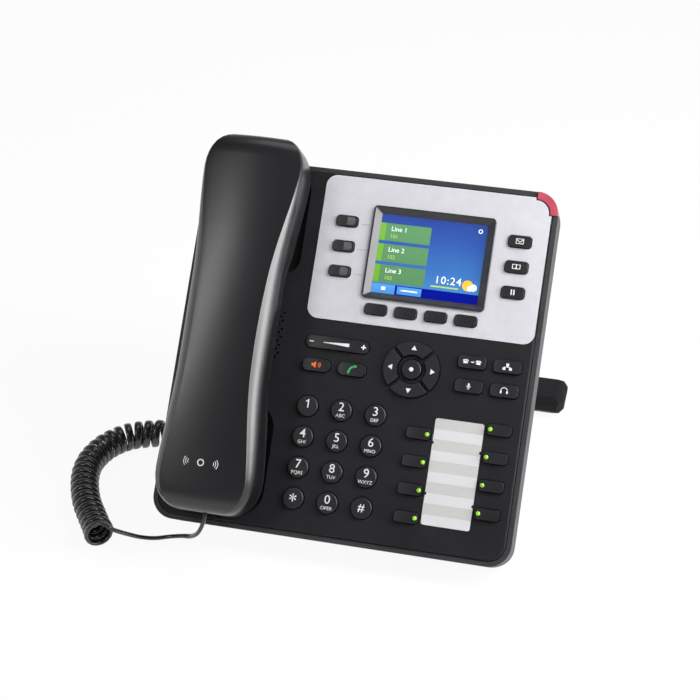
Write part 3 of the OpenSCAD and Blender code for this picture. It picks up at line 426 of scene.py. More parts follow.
world = bpy.data.worlds.new("studio")
bpy.context.scene.world = world
world.use_nodes = True
wt = world.node_tree
back = next(n for n in wt.nodes if n.type == "BACKGROUND")
path = wt.nodes.new("ShaderNodeLightPath")
way = wt.nodes.new("ShaderNodeTexCoord")
up = wt.nodes.new("ShaderNodeSeparateXYZ")
wt.links.new(way.outputs["Generated"], up.inputs[0])
dome = ramp(wt, up.outputs["Z"], [(0.0, (0.6, 0.6, 0.61)), (0.45, (0.28, 0.28, 0.29)),
                                  (0.7, (0.1, 0.1, 0.105)), (1.0, (0.16, 0.16, 0.165))])
see = wt.nodes.new("ShaderNodeMix")
see.data_type = "RGBA"
see.inputs[7].default_value = (1, 1, 1, 1)
wt.links.new(path.outputs["Is Camera Ray"], see.inputs[0])
wt.links.new(dome, see.inputs[6])
wt.links.new(see.outputs[2], back.inputs["Color"])
back.inputs["Strength"].default_value = 1.0


def softbox(name, spot, aim, width, height, power, tint=(1, 1, 1)):
    lamp = bpy.data.lights.new(name, "AREA")
    lamp.shape = "RECTANGLE"
    lamp.size = width
    lamp.size_y = height
    lamp.energy = power
    lamp.color = tint
    o = bpy.data.objects.new(name, lamp)
    bpy.context.scene.collection.objects.link(o)
    o.location = spot
    o.rotation_euler = (Vector(spot) - Vector(aim)).to_track_quat("Z", "Y").to_euler()
    return o


softbox("key_softbox", (-0.59, -0.68, 0.96), (-0.06, 0, 0.13), 0.15, 0.6, 2.4)
softbox("side_softbox", (0.525, -0.03, 0.475), (-0.063, 0, 0.12), 0.24, 0.85, 8.5)
softbox("top_fill", (0.1, 0.7, 1.5), (0, 0, 0.08), 1.2, 0.9, 4.5)

# ---------------------------------------------------------------- handset cord
CORD_W = 4.2
CORD_T = 2.3
COIL_R = 6.85
BRIDGE_REACH = 0.011
ROUTE_COIL = [
    (-120, -14.5, 9.4), (-129, -1, 8.2), (-138, 13, 8.2), (-145, 30, 8.2), (-147, 45, 8.2),
    (-143, 60, 8.2), (-134, 71, 8.2), (-122, 77, 8.2), (-109, 80, 8.4), (-100, 81.5, 8.8),
]
ROUTE_LEAD = [
    (-63.5, -5.07, 28.17), (-63.61, -6.15, 26.72), (-64.6, -7.6, 22.6), (-67.5, -7.5, 16),
    (-72.5, -4, 9.6), (-79, -0.5, 5.4), (-86.5, 0, 3), (-94, -2.5, 2.6), (-101, -5.5, 4.6),
    (-107, -9, 8.6), (-112, -12.5, 13),
]
ROUTE_TAIL = [
    (-93, 82.8, 9.2), (-86.5, 87, 12.6), (-81, 91, 19.5), (-78.8, 91.4, 27),
    (-78, 87, 34.6), (-78, 81.6, 41.2), (-78, 76.8, 45.65), (-78, 72.45, 49.7),
]


def desk_point(p):
    return Vector((p[0], p[1] - CENTRE_Y, p[2])) * MM


def smooth(points, steps):
    pts = [desk_point(p) for p in points]
    last = len(pts) - 1
    out = []
    for i in range(last):
        a, b, d, e = pts[max(0, i - 1)], pts[i], pts[i + 1], pts[min(last, i + 2)]
        for k in range(steps):
            u = k / steps
            out.append(0.5 * (2 * b + (d - a) * u + (2 * a - 5 * b + 4 * d - e) * u * u
                              + (3 * b - a - 3 * d + e) * u ** 3))
    out.append(pts[last])
    return out


def at_length(line, s):
    run = 0.0
    for a, b in zip(line, line[1:]):
        step = (b - a).length
        if run + step >= s:
            return a.lerp(b, (s - run) / step), (b - a).normalized()
        run += step
    return line[-1], (line[-1] - line[-2]).normalized()


def length_of(line):
    return sum((b - a).length for a, b in zip(line, line[1:]))


TIGHT_PITCH = 4.95
PITCH_GAIN = 1.5
OPENS_AT = 0.55
FIRST_TURN = 0.27


def coil_points(line, per_turn=16):
    """A helix round the coil's line, with the line's direction at each point."""
    total = length_of(line)
    out = []
    s = CORD_W * 0.5 * MM
    turn = FIRST_TURN
    while s < total - CORD_W * 0.5 * MM:
        centre, along = at_length(line, s)
        side = along.cross(Vector((0, 0, 1))).normalized()
        rise = side.cross(along)
        a = 2 * math.pi * turn
        loose = 1 + 0.09 * max(0, 1 - s / (2.2 * CORD_W * MM))
        offset = math.cos(a) * side + math.sin(a) * rise
        out.append((centre + loose * COIL_R * MM * offset, along))
        share = s / total
        pitch = (TIGHT_PITCH + PITCH_GAIN * max(0, share - OPENS_AT) / (1 - OPENS_AT)) * MM
        turn += 1 / per_turn
        s += pitch / per_turn
    return out


def bridge(a, a_dir, b, b_dir, reach, steps=8):
    """A short easy curve that carries one run of cord into the next."""
    out = []
    for k in range(1, steps):
        u = k / steps
        h1, h2 = 2 * u ** 3 - 3 * u ** 2 + 1, u ** 3 - 2 * u ** 2 + u
        h3, h4 = 3 * u ** 2 - 2 * u ** 3, u ** 3 - u ** 2
        out.append(h1 * a + h2 * reach * a_dir + h3 * b + h4 * reach * b_dir)
    return out


def heading(a, b):
    return (b - a).normalized()


coil_line = smooth(ROUTE_COIL, 8)
coil_turns = coil_points(coil_line)
coil = [p for p, _ in coil_turns]
lead = smooth(ROUTE_LEAD, 6)
tail = smooth(ROUTE_TAIL, 5)
lead_in = bridge(lead[-1], heading(lead[-2], lead[-1]), coil[0], heading(coil[0], coil[1]), BRIDGE_REACH)
lead_out = bridge(coil[-1], heading(coil[-2], coil[-1]), tail[0], heading(tail[0], tail[1]), BRIDGE_REACH)
cord_line = lead + lead_in + coil + lead_out + tail

# the flat cord's broad side lies along the coil, and turns easily where the cord runs free
EDGEWAYS = Vector((0.15, -0.8, 0.58))
coil_start, coil_end = coil_turns[0][1], coil_turns[-1][1]
broad = (
    [EDGEWAYS] * len(lead)
    + [(-EDGEWAYS).lerp(coil_start, (k + 1) / (len(lead_in) + 1)) for k in range(len(lead_in))]
    + [along for _, along in coil_turns]
    + [coil_end] * (len(lead_out) + len(tail))
)


def ribbon(name, line, sides_of, width, thick, sides=12):
    """An oval section swept along a line, its long axis kept near a wanted direction."""
    rings = []
    n = len(line)
    last = None
    for i, p in enumerate(line):
        along = (line[min(n - 1, i + 1)] - line[max(0, i - 1)]).normalized()
        wide = sides_of[i] - sides_of[i].dot(along) * along
        if last and wide.dot(last) < 0:
            wide = -wide
        wide.normalize()
        if last:
            wide = (0.35 * wide + 0.65 * (last - last.dot(along) * along)).normalized()
        last = wide
        flat = along.cross(wide)
        ring = []
        for k in range(sides):
            a = 2 * math.pi * k / sides
            x, y = math.cos(a), math.sin(a)
            full = math.copysign(abs(x) ** 0.75, x)
            ring.append(p + width / 2 * full * wide + thick / 2 * math.copysign(abs(y) ** 0.85, y) * flat)
        rings.append(ring)
    verts = [tuple(v) for ring in rings for v in ring]
    faces = [
        (i * sides + k, i * sides + (k + 1) % sides,
         (i + 1) * sides + (k + 1) % sides, (i + 1) * sides + k)
        for i in range(n - 1) for k in range(sides)
    ]
    faces.append(tuple(range(sides - 1, -1, -1)))
    faces.append(tuple((n - 1) * sides + k for k in range(sides)))
    return mesh_object(name, verts, faces, 50)


cord = ribbon("handset_cord", cord_line, broad, CORD_W * MM, CORD_T * MM)
cord.data.materials.append(CORD)

# ---------------------------------------------------------------- carried-over parts
def refine(node, name=None, edge=0.0, smooth_angle=32, segments=2, material=None, dissolve=True,
           even=True):
    """A welded copy of a part, its flats made whole and its edges broken, that stands for it."""
    src = frame["nodes"][node]
    piece = bpy.data.objects.new(name or "moulded_" + node, src.data.copy())
    bpy.context.scene.collection.objects.link(piece)
    pick(piece)
    bpy.ops.object.mode_set(mode="EDIT")
    bpy.ops.mesh.select_all(action="SELECT")
    bpy.ops.mesh.remove_doubles(threshold=2e-6)
    if dissolve:
        bpy.ops.mesh.dissolve_limited(angle_limit=math.radians(0.6))
    bpy.ops.object.mode_set(mode="OBJECT")
    if edge:
        mod = piece.modifiers.new("edge", "BEVEL")
        mod.width = edge * MM
        mod.segments = segments
        mod.limit_method = "ANGLE"
        mod.angle_limit = math.radians(38)
        mod.use_clamp_overlap = True
        bpy.ops.object.modifier_apply(modifier="edge")
    bpy.ops.object.shade_smooth_by_angle(angle=math.radians(smooth_angle))
    if even:
        mod = piece.modifiers.new("even", "WEIGHTED_NORMAL")
        mod.keep_sharp = True
        mod.weight = 100
        bpy.ops.object.modifier_apply(modifier="even")
    if material:
        piece.data.materials.clear()
        piece.data.materials.append(material)
    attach(piece, BODY_OF[node])
    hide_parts(node)
    return piece


def paint(node, material):
    o = frame["nodes"][node]
    for s in o.material_slots:
        s.material = material
    if not o.material_slots:
        o.data.materials.append(material)


for node, material in (
    ("lcd_module", BEZEL), ("main_board", BOARD), ("loudspeaker", STEEL),
    ("housing_screws", STEEL), ("hook_switch", HOOK), ("handset_capsules", CAPSULE),
):
    paint(node, material)

casing = refine("top_housing", "front_casing", material=FACE, smooth_angle=28)
for vert in casing.data.vertices:
    # the frame round the display is a piece of its own, so the casing stops under it
    spot = UNFLAT @ vert.co
    if spot.z > 0.2:
        vert.co = FLAT @ Vector((spot.x, spot.y, -0.6))
refine("bottom_housing", "rear_casing", material=REAR, smooth_angle=28)
refine("display_panel", "silver_panel", edge=0.25, material=SILVER)
refine("message_lamp", "message_lamp_lens", edge=0.3, material=LAMP)
refine("desk_stand", "tilt_stand", edge=0.7, material=STAND)
refine("rubber_feet", "rubber_pads", edge=0.4, material=RUBBER)


def stations_of(node):
    """Each ring of a lofted part, from end to end: place up the face, half width, foot and crest."""
    rings = {}
    for vert in frame["nodes"][node].data.vertices:
        p = UNFLAT @ vert.co
        rings.setdefault(round(p.y, 2), []).append(p)
    both_walls = max(len(pts) for pts in rings.values())
    kept = {}
    for order in (sorted(rings), sorted(rings, reverse=True)):
        widest = 0
        for v in order[:len(order) // 2 + 1]:
            pts = rings[v]
            half = (max(p.x for p in pts) - min(p.x for p in pts)) / 2
            # near the ends the hollow inside has rings of its own, narrower than the outer ones
            if len(pts) == both_walls or half > widest:
                kept[v] = (v, half, min(p.z for p in pts), max(p.z for p in pts))
            widest = max(widest, half)
    return [kept[v] for v in sorted(kept)]


GRIP_AT = 0.45
SHARE_GRIP = 0.74
SHARE_MOUTH = 0.88
SHARE_EAR = 0.97


def crease_share(v, low, high):
    """How far out the top face reaches: nearly to the edge at the ear, least at the grip."""
    u = (v - low) / (high - low)
    if u < GRIP_AT:
        return SHARE_MOUTH - (SHARE_MOUTH - SHARE_GRIP) * math.sin(math.pi / 2 * u / GRIP_AT) ** 1.4
    past = math.sin(math.pi / 2 * (u - GRIP_AT) / (1 - GRIP_AT)) ** 2
    return SHARE_GRIP + (SHARE_EAR - SHARE_GRIP) * past


BEVEL_FALL = 1.15
BEVEL_EDGE = 0.992
BEVEL_STRAIGHT = 0.7
CROWN_FALL = 0.055


def handset_back():
    """The handset's upper shell: a softly crowned back with a long bevel down each side."""
    rings = stations_of("handset_top_shell")
    low, high = rings[0][0], rings[-1][0]
    loops = []
    for v, half, foot, crest in rings:
        tall = crest - foot
        c = crease_share(v, low, high)
        drop = min(0.55 * tall, BEVEL_FALL * (1 - c) * half + 0.02 * tall)
        brow = 1 - CROWN_FALL * (c / 0.8) ** 2
        right = [(1.0, 0.0), (1.0, 0.5 * (brow - drop / tall)), (0.998, brow - drop / tall - 0.03)]
        for t in (1.0, 0.8, 0.6, 0.4, 0.2, 0.04):
            turn = math.pi / 2 * t
            out = BEVEL_STRAIGHT * t + (1 - BEVEL_STRAIGHT) * math.sin(turn)
            down = BEVEL_STRAIGHT * t + (1 - BEVEL_STRAIGHT) * (1 - math.cos(turn))
            right.append((c + (BEVEL_EDGE - c) * out, brow - 0.006 - (drop / tall - 0.006) * down))
        right.append((c, brow - 0.003))
        right += [(c * k, 1 - (1 - brow) * k * k) for k in (0.94, 0.84, 0.7, 0.55, 0.4, 0.25, 0.12)]
        section = [(lane_x + half * x, v, foot + tall * h) for x, h in right]
        section.append((lane_x, v, crest))
        section += [(2 * lane_x - x, y, z) for x, y, z in section[-2::-1]]
        loops.append(section)
    n = len(loops[0])
    verts = [p for loop in loops for p in loop]
    faces = [(i * n + k, (i + 1) * n + k, (i + 1) * n + (k + 1) % n, i * n + (k + 1) % n)
             for i in range(len(loops) - 1) for k in range(n)]
    faces.append(tuple(range(n)))
    faces.append(tuple((len(loops) - 1) * n + k for k in range(n - 1, -1, -1)))
    o = mesh_object("handset_shell", verts, faces, 20)
    o.data.transform(FLAT)
    o.data.materials.append(SHELL)
    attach(o, "handset")
    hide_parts("handset_top_shell")
    return o


lane_x = flat_centre("handset_top_shell").x
shell = handset_back()
refine("handset_bottom_shell", "handset_lower_shell", material=UNDER, smooth_angle=30, dissolve=False,
       even=False)
KEYS = [n for n in frame["nodes"] if BODY_OF[n] == n and n != "hook_switch"]
for node in KEYS:
    refine(node, "cap_" + node, edge=0.25, material=KEY)

# ---------------------------------------------------------------- legends, icons and thin inlays
CROWN_R = 60.0


def lay_on(o, x, v, n, crown=None, body="base", material=INK):
    """Sets a flat piece drawn in millimetres on the face, following a key's crowned top."""
    settle(o)
    for vert in o.data.vertices:
        sag = 0.0
        if crown:
            sag = crown - math.sqrt(max(0.0, crown * crown - vert.co.x ** 2))
        vert.co.z -= sag
    o.data.transform(FLAT @ Matrix.Translation((x, v, n)))
    if material:
        o.data.materials.clear()
        o.data.materials.append(material)
    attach(o, body)
    return o


def flat_shape(name, loops, thick=0.06):
    """A filled outline with its holes, as a thin mesh, in millimetres."""
    curve = bpy.data.curves.new(name, "CURVE")
    curve.dimensions = "2D"
    curve.fill_mode = "BOTH"
    curve.extrude = thick / 2
    for loop in loops:
        spline = curve.splines.new("POLY")
        spline.points.add(len(loop) - 1)
        for p, (x, y) in zip(spline.points, loop):
            p.co = (x, y, 0, 1)
        spline.use_cyclic_u = True
    o = bpy.data.objects.new(name, curve)
    bpy.context.scene.collection.objects.link(o)
    pick(o)
    bpy.ops.object.convert(target="MESH")
    return bpy.context.object


def lettering(name, text, size, thick=0.06, weight=0.0, spacing=1.0):
    deselect()
    bpy.ops.object.text_add()
    o = bpy.context.object
    o.name = name
    o.data.body = text
    o.data.size = size
    o.data.align_x = "CENTER"
    o.data.align_y = "CENTER"
    o.data.extrude = thick / 2
    o.data.offset = weight
    o.data.space_character = spacing
    o.data.resolution_u = 3
    bpy.ops.object.convert(target="MESH")
    o = bpy.context.object
    o.name = name
    return o


def rect(cx, cy, w, h):
    return [(cx + sx * w / 2, cy + sy * h / 2) for sx, sy in ((-1, -1), (1, -1), (1, 1), (-1, 1))]


def disc(cx, cy, r, n=20, a0=0.0, a1=360.0):
    full = abs(a1 - a0) >= 360
    count = n if full else n + 1
    return [(cx + r * math.cos(math.radians(a0 + (a1 - a0) * i / n)),
             cy + r * math.sin(math.radians(a0 + (a1 - a0) * i / n))) for i in range(count)]


def pill(cx, cy, w, h, r, n=6):
    out = []
    for sx, sy, a in ((1, 1, 0), (-1, 1, 90), (-1, -1, 180), (1, -1, 270)):
        ox, oy = cx + sx * (w / 2 - r), cy + sy * (h / 2 - r)
        out += disc(ox, oy, r, n, a, a + 90)
    return out


def arc_band(cx, cy, r, t, a0, a1, n=10):
    return disc(cx, cy, r + t / 2, n, a0, a1) + disc(cx, cy, r - t / 2, n, a0, a1)[::-1]


def key_top(node):
    low, high = flat_box(node)
    return (low.x + high.x) / 2, (low.y + high.y) / 2, high.z


def on_key(node, o, dx=0.0, dy=0.0, crown=CROWN_R, material=INK):
    x, v, n = key_top(node)
    if crown:
        for vert in o.data.vertices:
            vert.co.x += dx
            vert.co.y += dy
        return lay_on(o, x, v, n + 0.03, crown, node, material)
    return lay_on(o, x + dx, v + dy, n + 0.03, None, node, material)


LETTERS = {"2": "ABC", "3": "DEF", "4": "GHI", "5": "JKL", "6": "MNO", "7": "PQRS", "8": "TUV",
           "9": "WXYZ", "0": "OPER"}
for digit in "1234567890":
    node = "dial_key_" + digit
    if digit == "1":
        sign = flat_shape("digit_1", [[(0.05, -2.25), (0.75, -2.25), (0.75, 2.35), (0.2, 2.35), (-0.25, 1.75),
                                       (-1.0, 1.3), (-1.0, 0.7), (0.05, 1.25)]])
    else:
        sign = lettering("digit_" + digit, digit, 6.7, weight=0.01)
    on_key(node, sign, 0, 1.6 if digit in LETTERS else 1.3, None)
    if digit in LETTERS:
        on_key(node, lettering("letters_" + digit, LETTERS[digit], 2.6), 0, -2.9, None)
on_key("dial_key_star", lettering("sign_star", "*", 9.5, weight=0.03), 0, -1.6, None)
on_key("dial_key_pound", lettering("sign_pound", "#", 6.2, weight=0.01), 0, 0.1, None)
on_key("dial_key_5", flat_shape("touch_dot_5", [disc(0, 0, 0.32, 12)], 0.3), 3.2, 1.0, None, KEY)

# volume rocker: minus, wedge and plus
on_key("volume_rocker", flat_shape("sign_minus", [rect(-14.2, 0, 2.4, 0.7)]), crown=120)
WEDGE_STEP = 2.0


def wedge_half(x):
    return 0.15 + 0.057 * (x + 7.5)


# short lengths with a hair between them, so that each lies along the crown
wedge = []
for i in range(7):
    x0 = -7.5 + WEDGE_STEP * i
    x1 = x0 + WEDGE_STEP - 0.01
    wedge.append([(x0, -wedge_half(x0)), (x1, -wedge_half(x1)), (x1, wedge_half(x1)), (x0, wedge_half(x0))])
on_key("volume_rocker", flat_shape("sign_wedge", wedge), crown=120)
on_key("volume_rocker", flat_shape("sign_plus", [[
    (12.9, -0.35), (13.85, -0.35), (13.85, -1.3), (14.55, -1.3), (14.55, -0.35), (15.5, -0.35),
    (15.5, 0.35), (14.55, 0.35), (14.55, 1.3), (13.85, 1.3), (13.85, 0.35), (12.9, 0.35)]]), crown=120)

# speaker and send keys
on_key("speaker_key", flat_shape("icon_speaker", [
    [(-2.4, -0.7), (-1.4, -0.7), (0.0, -1.9), (0.0, 1.9), (-1.4, 0.7), (-2.4, 0.7)],
    arc_band(0.2, 0, 1.3, 0.36, -42, 42), arc_band(0.2, 0, 2.2, 0.36, -42, 42)]), material=ORANGE_INK_PAINTED_GLOW)
on_key("send_key", flat_shape("icon_send", [
    arc_band(1.6, -1.4, 3.0, 0.85, 98, 172),
    pill(1.45, 1.7, 1.7, 1.1, 0.35), pill(-1.55, -1.45, 1.1, 1.7, 0.35)]),
    material=GREEN_INK_PAINTED_GLOW)

# navigation pad: arrows and the centre dot
for turn, node in ((0, "nav_up"), (90, "nav_left"), (180, "nav_down"), (270, "nav_right")):
    x, v, n = key_top("nav_ok")
    a = math.radians(turn)
    tri = [(-1.5, 10.3), (1.5, 10.3), (0, 12.7)]
    tri = [(p[0] * math.cos(a) - p[1] * math.sin(a), p[0] * math.sin(a) + p[1] * math.cos(a)) for p in tri]
    lay_on(flat_shape("arrow_" + node, [tri]), x, v, flat_box(node)[1].z + 0.03, None, node)
on_key("nav_ok", flat_shape("centre_dot", [disc(0, 0, 1.15, 24)]), crown=None)

# feature keys beside the display
on_key("message_key", flat_shape("icon_envelope", [
    rect(0, 0, 4.2, 2.9), [(-1.75, 1.1), (0, -0.25), (1.75, 1.1)],
    [(-1.75, 0.6), (-1.75, -1.1), (1.75, -1.1), (1.75, 0.6), (0, -0.75)]]))
on_key("phonebook_key", flat_shape("icon_book", [
    [(-2.2, -1.2), (-0.3, -1.2), (0, -1.5), (0.3, -1.2), (2.2, -1.2), (2.2, 1.35), (-2.2, 1.35)],
    rect(-1.02, 0.1, 1.6, 1.9), rect(1.02, 0.1, 1.6, 1.9)]))
on_key("hold_key", flat_shape("icon_pause", [rect(-0.7, 0, 0.7, 2.9), rect(0.7, 0, 0.7, 2.9)]))

# function keys
def small_phone(cx):
    """A desk phone's outline: its body, and the handset across its top."""
    return [
        [(cx - 1.3, -1.0), (cx + 1.3, -1.0), (cx + 0.8, 0.35), (cx - 0.8, 0.35)],
        [(cx - 1.5, 0.2), (cx - 1.5, 0.75), (cx - 0.8, 1.15), (cx + 0.8, 1.15), (cx + 1.5, 0.75),
         (cx + 1.5, 0.2), (cx + 0.9, 0.2), (cx + 0.9, 0.55), (cx - 0.9, 0.55), (cx - 0.9, 0.2)],
    ]


on_key("transfer_key", flat_shape("icon_transfer", small_phone(-3.4) + small_phone(3.4) + [
    rect(0, 0, 1.6, 0.3), [(0.7, -0.55), (1.6, 0), (0.7, 0.55)]]))
on_key("conference_key", flat_shape("icon_conference", [
    rect(0, 1.0, 1.5, 1.4), rect(-1.7, -1.2, 1.5, 1.4), rect(1.7, -1.2, 1.5, 1.4),
    rect(0, 0.0, 0.26, 0.7), rect(0, -0.3, 3.6, 0.26)]))
on_key("mute_key", flat_shape("icon_mic", [
    pill(0, 0.5, 1.1, 2.0, 0.5), arc_band(0, 0.3, 1.15, 0.28, 195, 345), rect(0, -1.25, 0.28, 0.8),
    rect(0, -1.7, 1.3, 0.26)]))
on_key("headset_key", flat_shape("icon_headset", [
    arc_band(0, -0.1, 1.75, 0.4, 0, 180),
    pill(-1.65, -0.75, 0.95, 1.5, 0.35), pill(1.65, -0.75, 0.95, 1.5, 0.35)]))

# lens halves on the line keys, and the lines that lead to the display
for i in (1, 2, 3):
    node = f"line_key_{i}"
    x, v, n = key_top(node)
    lens = flat_shape(f"lens_{node}", [[(0.3, -2.1), *disc(3.1, -0.45, 1.65, 6, -90, 0),
                                        *disc(3.1, 0.45, 1.65, 6, 0, 90), (0.3, 2.1)]], 0.24)
    on_key(node, lens, material=LENS)
    panel_n = flat_box("display_panel")[1].z
    x1 = flat_box("lcd_module")[0].x - 3.2
    lay_on(flat_shape(f"guide_line_{i}", [rect(0, 0, x1 - x - 7.6, 0.28)], 0.04),
           (x + 7.6 + x1) / 2, v - 0.8, panel_n + 0.012, None, "base", INK_GREY)

# ---------------------------------------------------------------- display: bezel and lit picture
low, high = flat_box("lcd_module")
cx, cy = (low.x + high.x) / 2, (low.y + high.y) / 2
PIC_W, PIC_H = high.x - low.x - 4, high.y - low.y - 4
glass = high.z + 0.05


def loft(name, rings):
    """Quads between outlines of the same count, each (loop, height)."""
    n = len(rings[0][0])
    verts = [(x, y, z) for loop, z in rings for x, y in loop]
    faces = [(i * n + k, i * n + (k + 1) % n, (i + 1) * n + (k + 1) % n, (i + 1) * n + k)
             for i in range(len(rings) - 1) for k in range(n)]
    return mesh_object(name, verts, faces, 30)


face_n = flat_box("display_panel")[1].z
top_n = flat_box("top_housing")[1].z + 0.12
bezel_piece = loft("display_bezel", [
    (pill(0, 0, PIC_W + 9.0, PIC_H + 7.6, 2.4), face_n - 0.05 - glass),
    (pill(0, 0, PIC_W + 9.0, PIC_H + 7.6, 2.4), top_n - 0.5 - glass),
    (pill(0, 0, PIC_W + 8.8, PIC_H + 7.4, 2.3), top_n - 0.15 - glass),
    (pill(0, 0, PIC_W + 8.3, PIC_H + 6.9, 2.1), top_n - glass),
    (pill(0, 0, PIC_W + 6.9, PIC_H + 5.9, 1.2), top_n - glass),
    (pill(0, 0, PIC_W + 6.5, PIC_H + 5.5, 0.9), top_n - 0.2 - glass),
    (pill(0, 0, PIC_W - 0.1, PIC_H - 0.1, 0.15), 0.0),
])
bezel_piece.data.materials.append(BEZEL)
bezel_piece.data.materials.append(BEZEL_SIDE_PAINTED_LIGHT)
# painted highlight: the left and right sloped inner faces take the lighter grey copy, while the top and
# bottom stay black
for poly in bezel_piece.data.polygons:
    sloped = abs(poly.normal.x) > 0.3 and poly.normal.z > 0.3
    poly.material_index = 1 if sloped and abs(poly.center.x) > PIC_W / 2 - 1 else 0
lay_on(bezel_piece, cx, cy, glass, None, "base", None)


def on_screen(name, loops, layer, material):
    """A shape of the lit picture, in millimetres from the picture's lower left corner."""
    o = flat_shape(name, loops, 0.03)
    return lay_on(o, cx - PIC_W / 2, cy - PIC_H / 2, glass + 0.03 * layer, None, "base", material)


on_screen("picture_sky", [rect(PIC_W / 2, PIC_H / 2, PIC_W + 0.6, PIC_H + 0.6)], 0, SKY)
on_screen("picture_bar", [rect(PIC_W / 2, 2.6, PIC_W, 5.2)], 1, BAR_DARK)
on_screen("picture_bar_tab_1", [rect(6.4, 2.6, 12.6, 5.0)], 2, BAR_LIGHT)
on_screen("picture_bar_tab_2", [rect(20.5, 2.6, 13.2, 4.2)], 2, BAR_LIGHT)
on_screen("picture_bar_mark_1", [rect(6.4, 2.8, 2.2, 1.8)], 3, GLYPH)
on_screen("picture_bar_mark_2", [rect(20.5, 2.7, 9.0, 0.7)], 3, GLYPH)
TILE_FIRST = 10.8
TILE_STEP = 11.4
for i in range(3):
    y = TILE_FIRST + TILE_STEP * (2 - i)
    on_screen(f"picture_tile_{i + 1}", [rect(15.4, y, 24.6, 9.6)], 1, TILE)
    on_screen(f"picture_tile_edge_{i + 1}", [rect(1.6, y, 3.0, 9.6)], 1, TILE_EDGE)
    for label, size, dx, dy, ink in (
        (f"Line {i + 1}", 3.6, 10.4, 1.8, GLYPH),
        (f"10{i + 1}", 3.0, 8.0, -2.2, GLYPH_LIME),
    ):
        sign = lettering(f"picture_{label.lower().replace(' ', '_')}", label, size, 0.03, 0.01)
        lay_on(sign, cx - PIC_W / 2 + dx, cy - PIC_H / 2 + y + dy, glass + 0.06, None, "base", ink)
clock = lettering("picture_clock", "10:24", 5.8, 0.03, 0.02, 1.15)
lay_on(clock, cx - PIC_W / 2 + 40.5, cy - PIC_H / 2 + 10.8, glass + 0.06, None, "base", GLYPH)
on_screen("picture_date", [pill(39.0, 7.2, 15.0, 0.8, 0.3)], 2, GLYPH_LIME)
on_screen("picture_sun", [disc(51.2, 9.6, 2.9, 28)], 2, SUN)
on_screen("picture_cloud", [disc(52.6, 8.2, 1.5, 20)], 3, GLYPH)
on_screen("picture_cloud_top", [disc(54.4, 8.8, 1.9, 24)], 4, GLYPH)
on_screen("picture_ring", [disc(54.0, 39.6, 1.2, 24), disc(54.0, 39.6, 0.75, 24)], 2, GLYPH)

# ---------------------------------------------------------------- label card bands and green lamps
low, high = flat_box("label_card")
card_mid = (low + high) / 2
card_w, card_h = high.x - low.x, high.y - low.y
card = flat_shape("label_card_paper", [pill(0, 0, card_w, card_h, 1.4)], high.z - low.z)
lay_on(card, card_mid.x, card_mid.y, card_mid.z, None, "base", CARD)
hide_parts("label_card")
bands = 10
band_h = card_h / bands
for i in range(0, bands, 2):
    y = low.y + (i + 0.5) * band_h
    outline = pill(0, 0, card_w - 0.4, band_h - 0.3, 1.2 if i == 0 else 0.1)
    shape = flat_shape(f"label_band_{i // 2 + 1}", [outline], 0.06)
    lay_on(shape, (low.x + high.x) / 2, y, high.z + 0.02, None, "base", CARD_WHITE)


# thumb notches in the card's sides, as shares of its height from the top
for side, share in ((-1, 0.23), (-1, 0.71), (1, 0.27), (1, 0.77)):
    notch = flat_shape(f"card_notch_{'left' if side < 0 else 'right'}_{round(share * 100)}",
                       [disc(0, 0, 0.85, 16)], 0.06)
    lay_on(notch, card_mid.x + side * card_w / 2, high.y - share * card_h, high.z + 0.1, None,
           "base", FACE)


def lamp_dome(name, x, v, n, r, body):
    """A small domed lamp: a sphere cut at its waist and drawn down a little below it."""
    deselect()
    bpy.ops.mesh.primitive_uv_sphere_add(segments=24, ring_count=12, radius=r)
    o = bpy.context.object
    o.name = name
    bpy.ops.object.mode_set(mode="EDIT")
    bpy.ops.mesh.select_all(action="SELECT")
    bpy.ops.mesh.bisect(plane_co=(0, 0, 0), plane_no=(0, 0, 1), clear_inner=True, use_fill=False)
    bpy.ops.mesh.select_all(action="DESELECT")
    bpy.ops.mesh.select_mode(type="VERT")
    bpy.ops.object.mode_set(mode="OBJECT")
    for vert in o.data.vertices:
        vert.select = vert.co.z < 1e-4
    bpy.ops.object.mode_set(mode="EDIT")
    bpy.ops.mesh.select_mode(type="EDGE")
    bpy.ops.mesh.extrude_region_move(TRANSFORM_OT_translate={"value": (0, 0, -0.8)})
    bpy.ops.mesh.edge_face_add()
    bpy.ops.object.mode_set(mode="OBJECT")
    bpy.ops.object.shade_smooth_by_angle(angle=math.radians(50))
    return lay_on(o, x, v, n, None, body, LED)


card_x = (low.x + high.x) / 2
for i in range(1, 9):
    x, v, n = key_top(f"blf_key_{i}")
    side = 1 if x < card_x else -1
    lamp_dome(f"green_lamp_{i}", x + side * 4.75, v, n - 0.35, 1.2, f"blf_key_{i}")

# ---------------------------------------------------------------- sound-wave mark on the handset
shell_tree = BVHTree.FromPolygons(
    [v.co.copy() for v in shell.data.vertices], [tuple(f.vertices) for f in shell.data.polygons]
)


def drape(o, x, v):
    """Lays a flat mark on the handset's back, every point on the surface under it."""
    settle(o)
    down = (FLAT.to_3x3() @ Vector((0, 0, -1))).normalized()
    for vert in o.data.vertices:
        start = FLAT @ Vector((x + vert.co.x, v + vert.co.y, 90))
        where = shell_tree.ray_cast(start, down)[0]
        vert.co = where - down * (vert.co.z + 0.03) * MM
    o.data.materials.clear()
    o.data.materials.append(INK)
    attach(o, "handset")
    return o


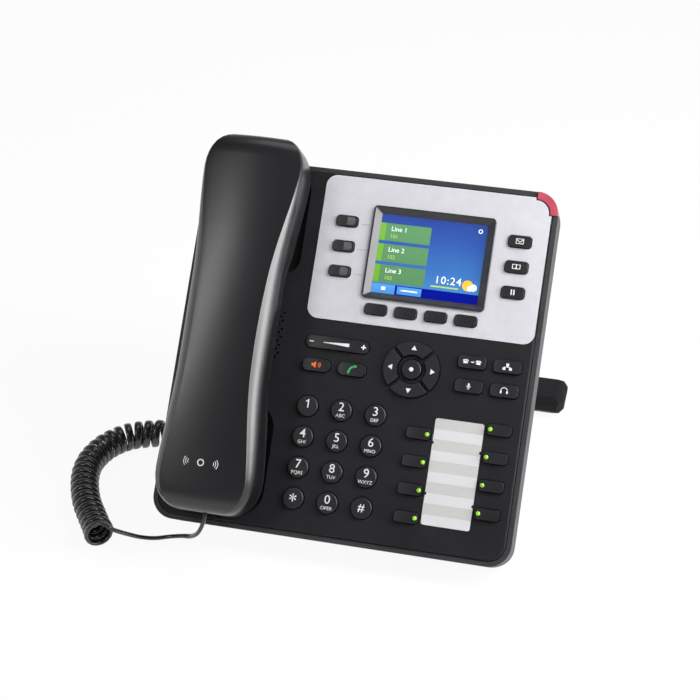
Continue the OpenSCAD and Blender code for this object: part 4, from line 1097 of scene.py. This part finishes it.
MARK_V = 30.5
MARK_X = lane_x - 1.5
for side in (-1, 1):
    for k, r in enumerate((1.4, 2.5, 3.6)):
        mid = 0 if side > 0 else 180
        arc = flat_shape(f"wave_mark_{'left' if side < 0 else 'right'}_{k + 1}",
                         [arc_band(0, 0, r, 0.34, mid - 40, mid + 40, 12)], 0.05)
        drape(arc, MARK_X + side * 5.6, MARK_V)
drape(flat_shape("wave_mark_centre", [disc(0, 0, 1.9, 28), disc(0, 0, 1.25, 28)], 0.05), MARK_X, MARK_V)

# ---------------------------------------------------------------- plugs at the cord's two ends
def plug(name, end, way, width, height, length):
    """A modular plug: a block drawn back into a slimmer boot round the cord."""
    deselect()
    bpy.ops.mesh.primitive_cube_add(size=1)
    o = bpy.context.object
    o.name = name
    o.scale = (width, height, length)
    settle(o)
    bpy.ops.object.mode_set(mode="EDIT")
    bpy.ops.mesh.select_mode(type="FACE")
    bpy.ops.mesh.select_all(action="DESELECT")
    bpy.ops.object.mode_set(mode="OBJECT")
    for poly in o.data.polygons:
        poly.select = poly.normal.z > 0.5
    bpy.ops.object.mode_set(mode="EDIT")
    bpy.ops.mesh.inset(thickness=min(width, height) * 0.2, depth=0)
    bpy.ops.mesh.extrude_region_move(TRANSFORM_OT_translate={"value": (0, 0, length * 0.35)})
    bpy.ops.transform.resize(value=(0.8, 0.8, 1))
    bpy.ops.object.mode_set(mode="OBJECT")
    mod = o.modifiers.new("edge", "BEVEL")
    mod.width = 0.3
    mod.segments = 3
    bpy.ops.object.modifier_apply(modifier="edge")
    bpy.ops.object.shade_smooth_by_angle(angle=math.radians(35))
    turn = way.to_track_quat("Z", "Y").to_matrix().to_4x4()
    o.data.transform(Matrix.Translation(end) @ turn @ Matrix.Scale(MM, 4))
    o.data.materials.append(PLUG)
    return o


base_plug = plug("cord_plug_base", cord_line[-1] + heading(cord_line[-2], cord_line[-1]) * 0.0005,
                 heading(cord_line[-1], cord_line[-2]), 7.6, 6.6, 3.6)
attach(base_plug, "base")

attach(cord, "base")
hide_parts("cord_lead", "cord_coil", "cord_tail")
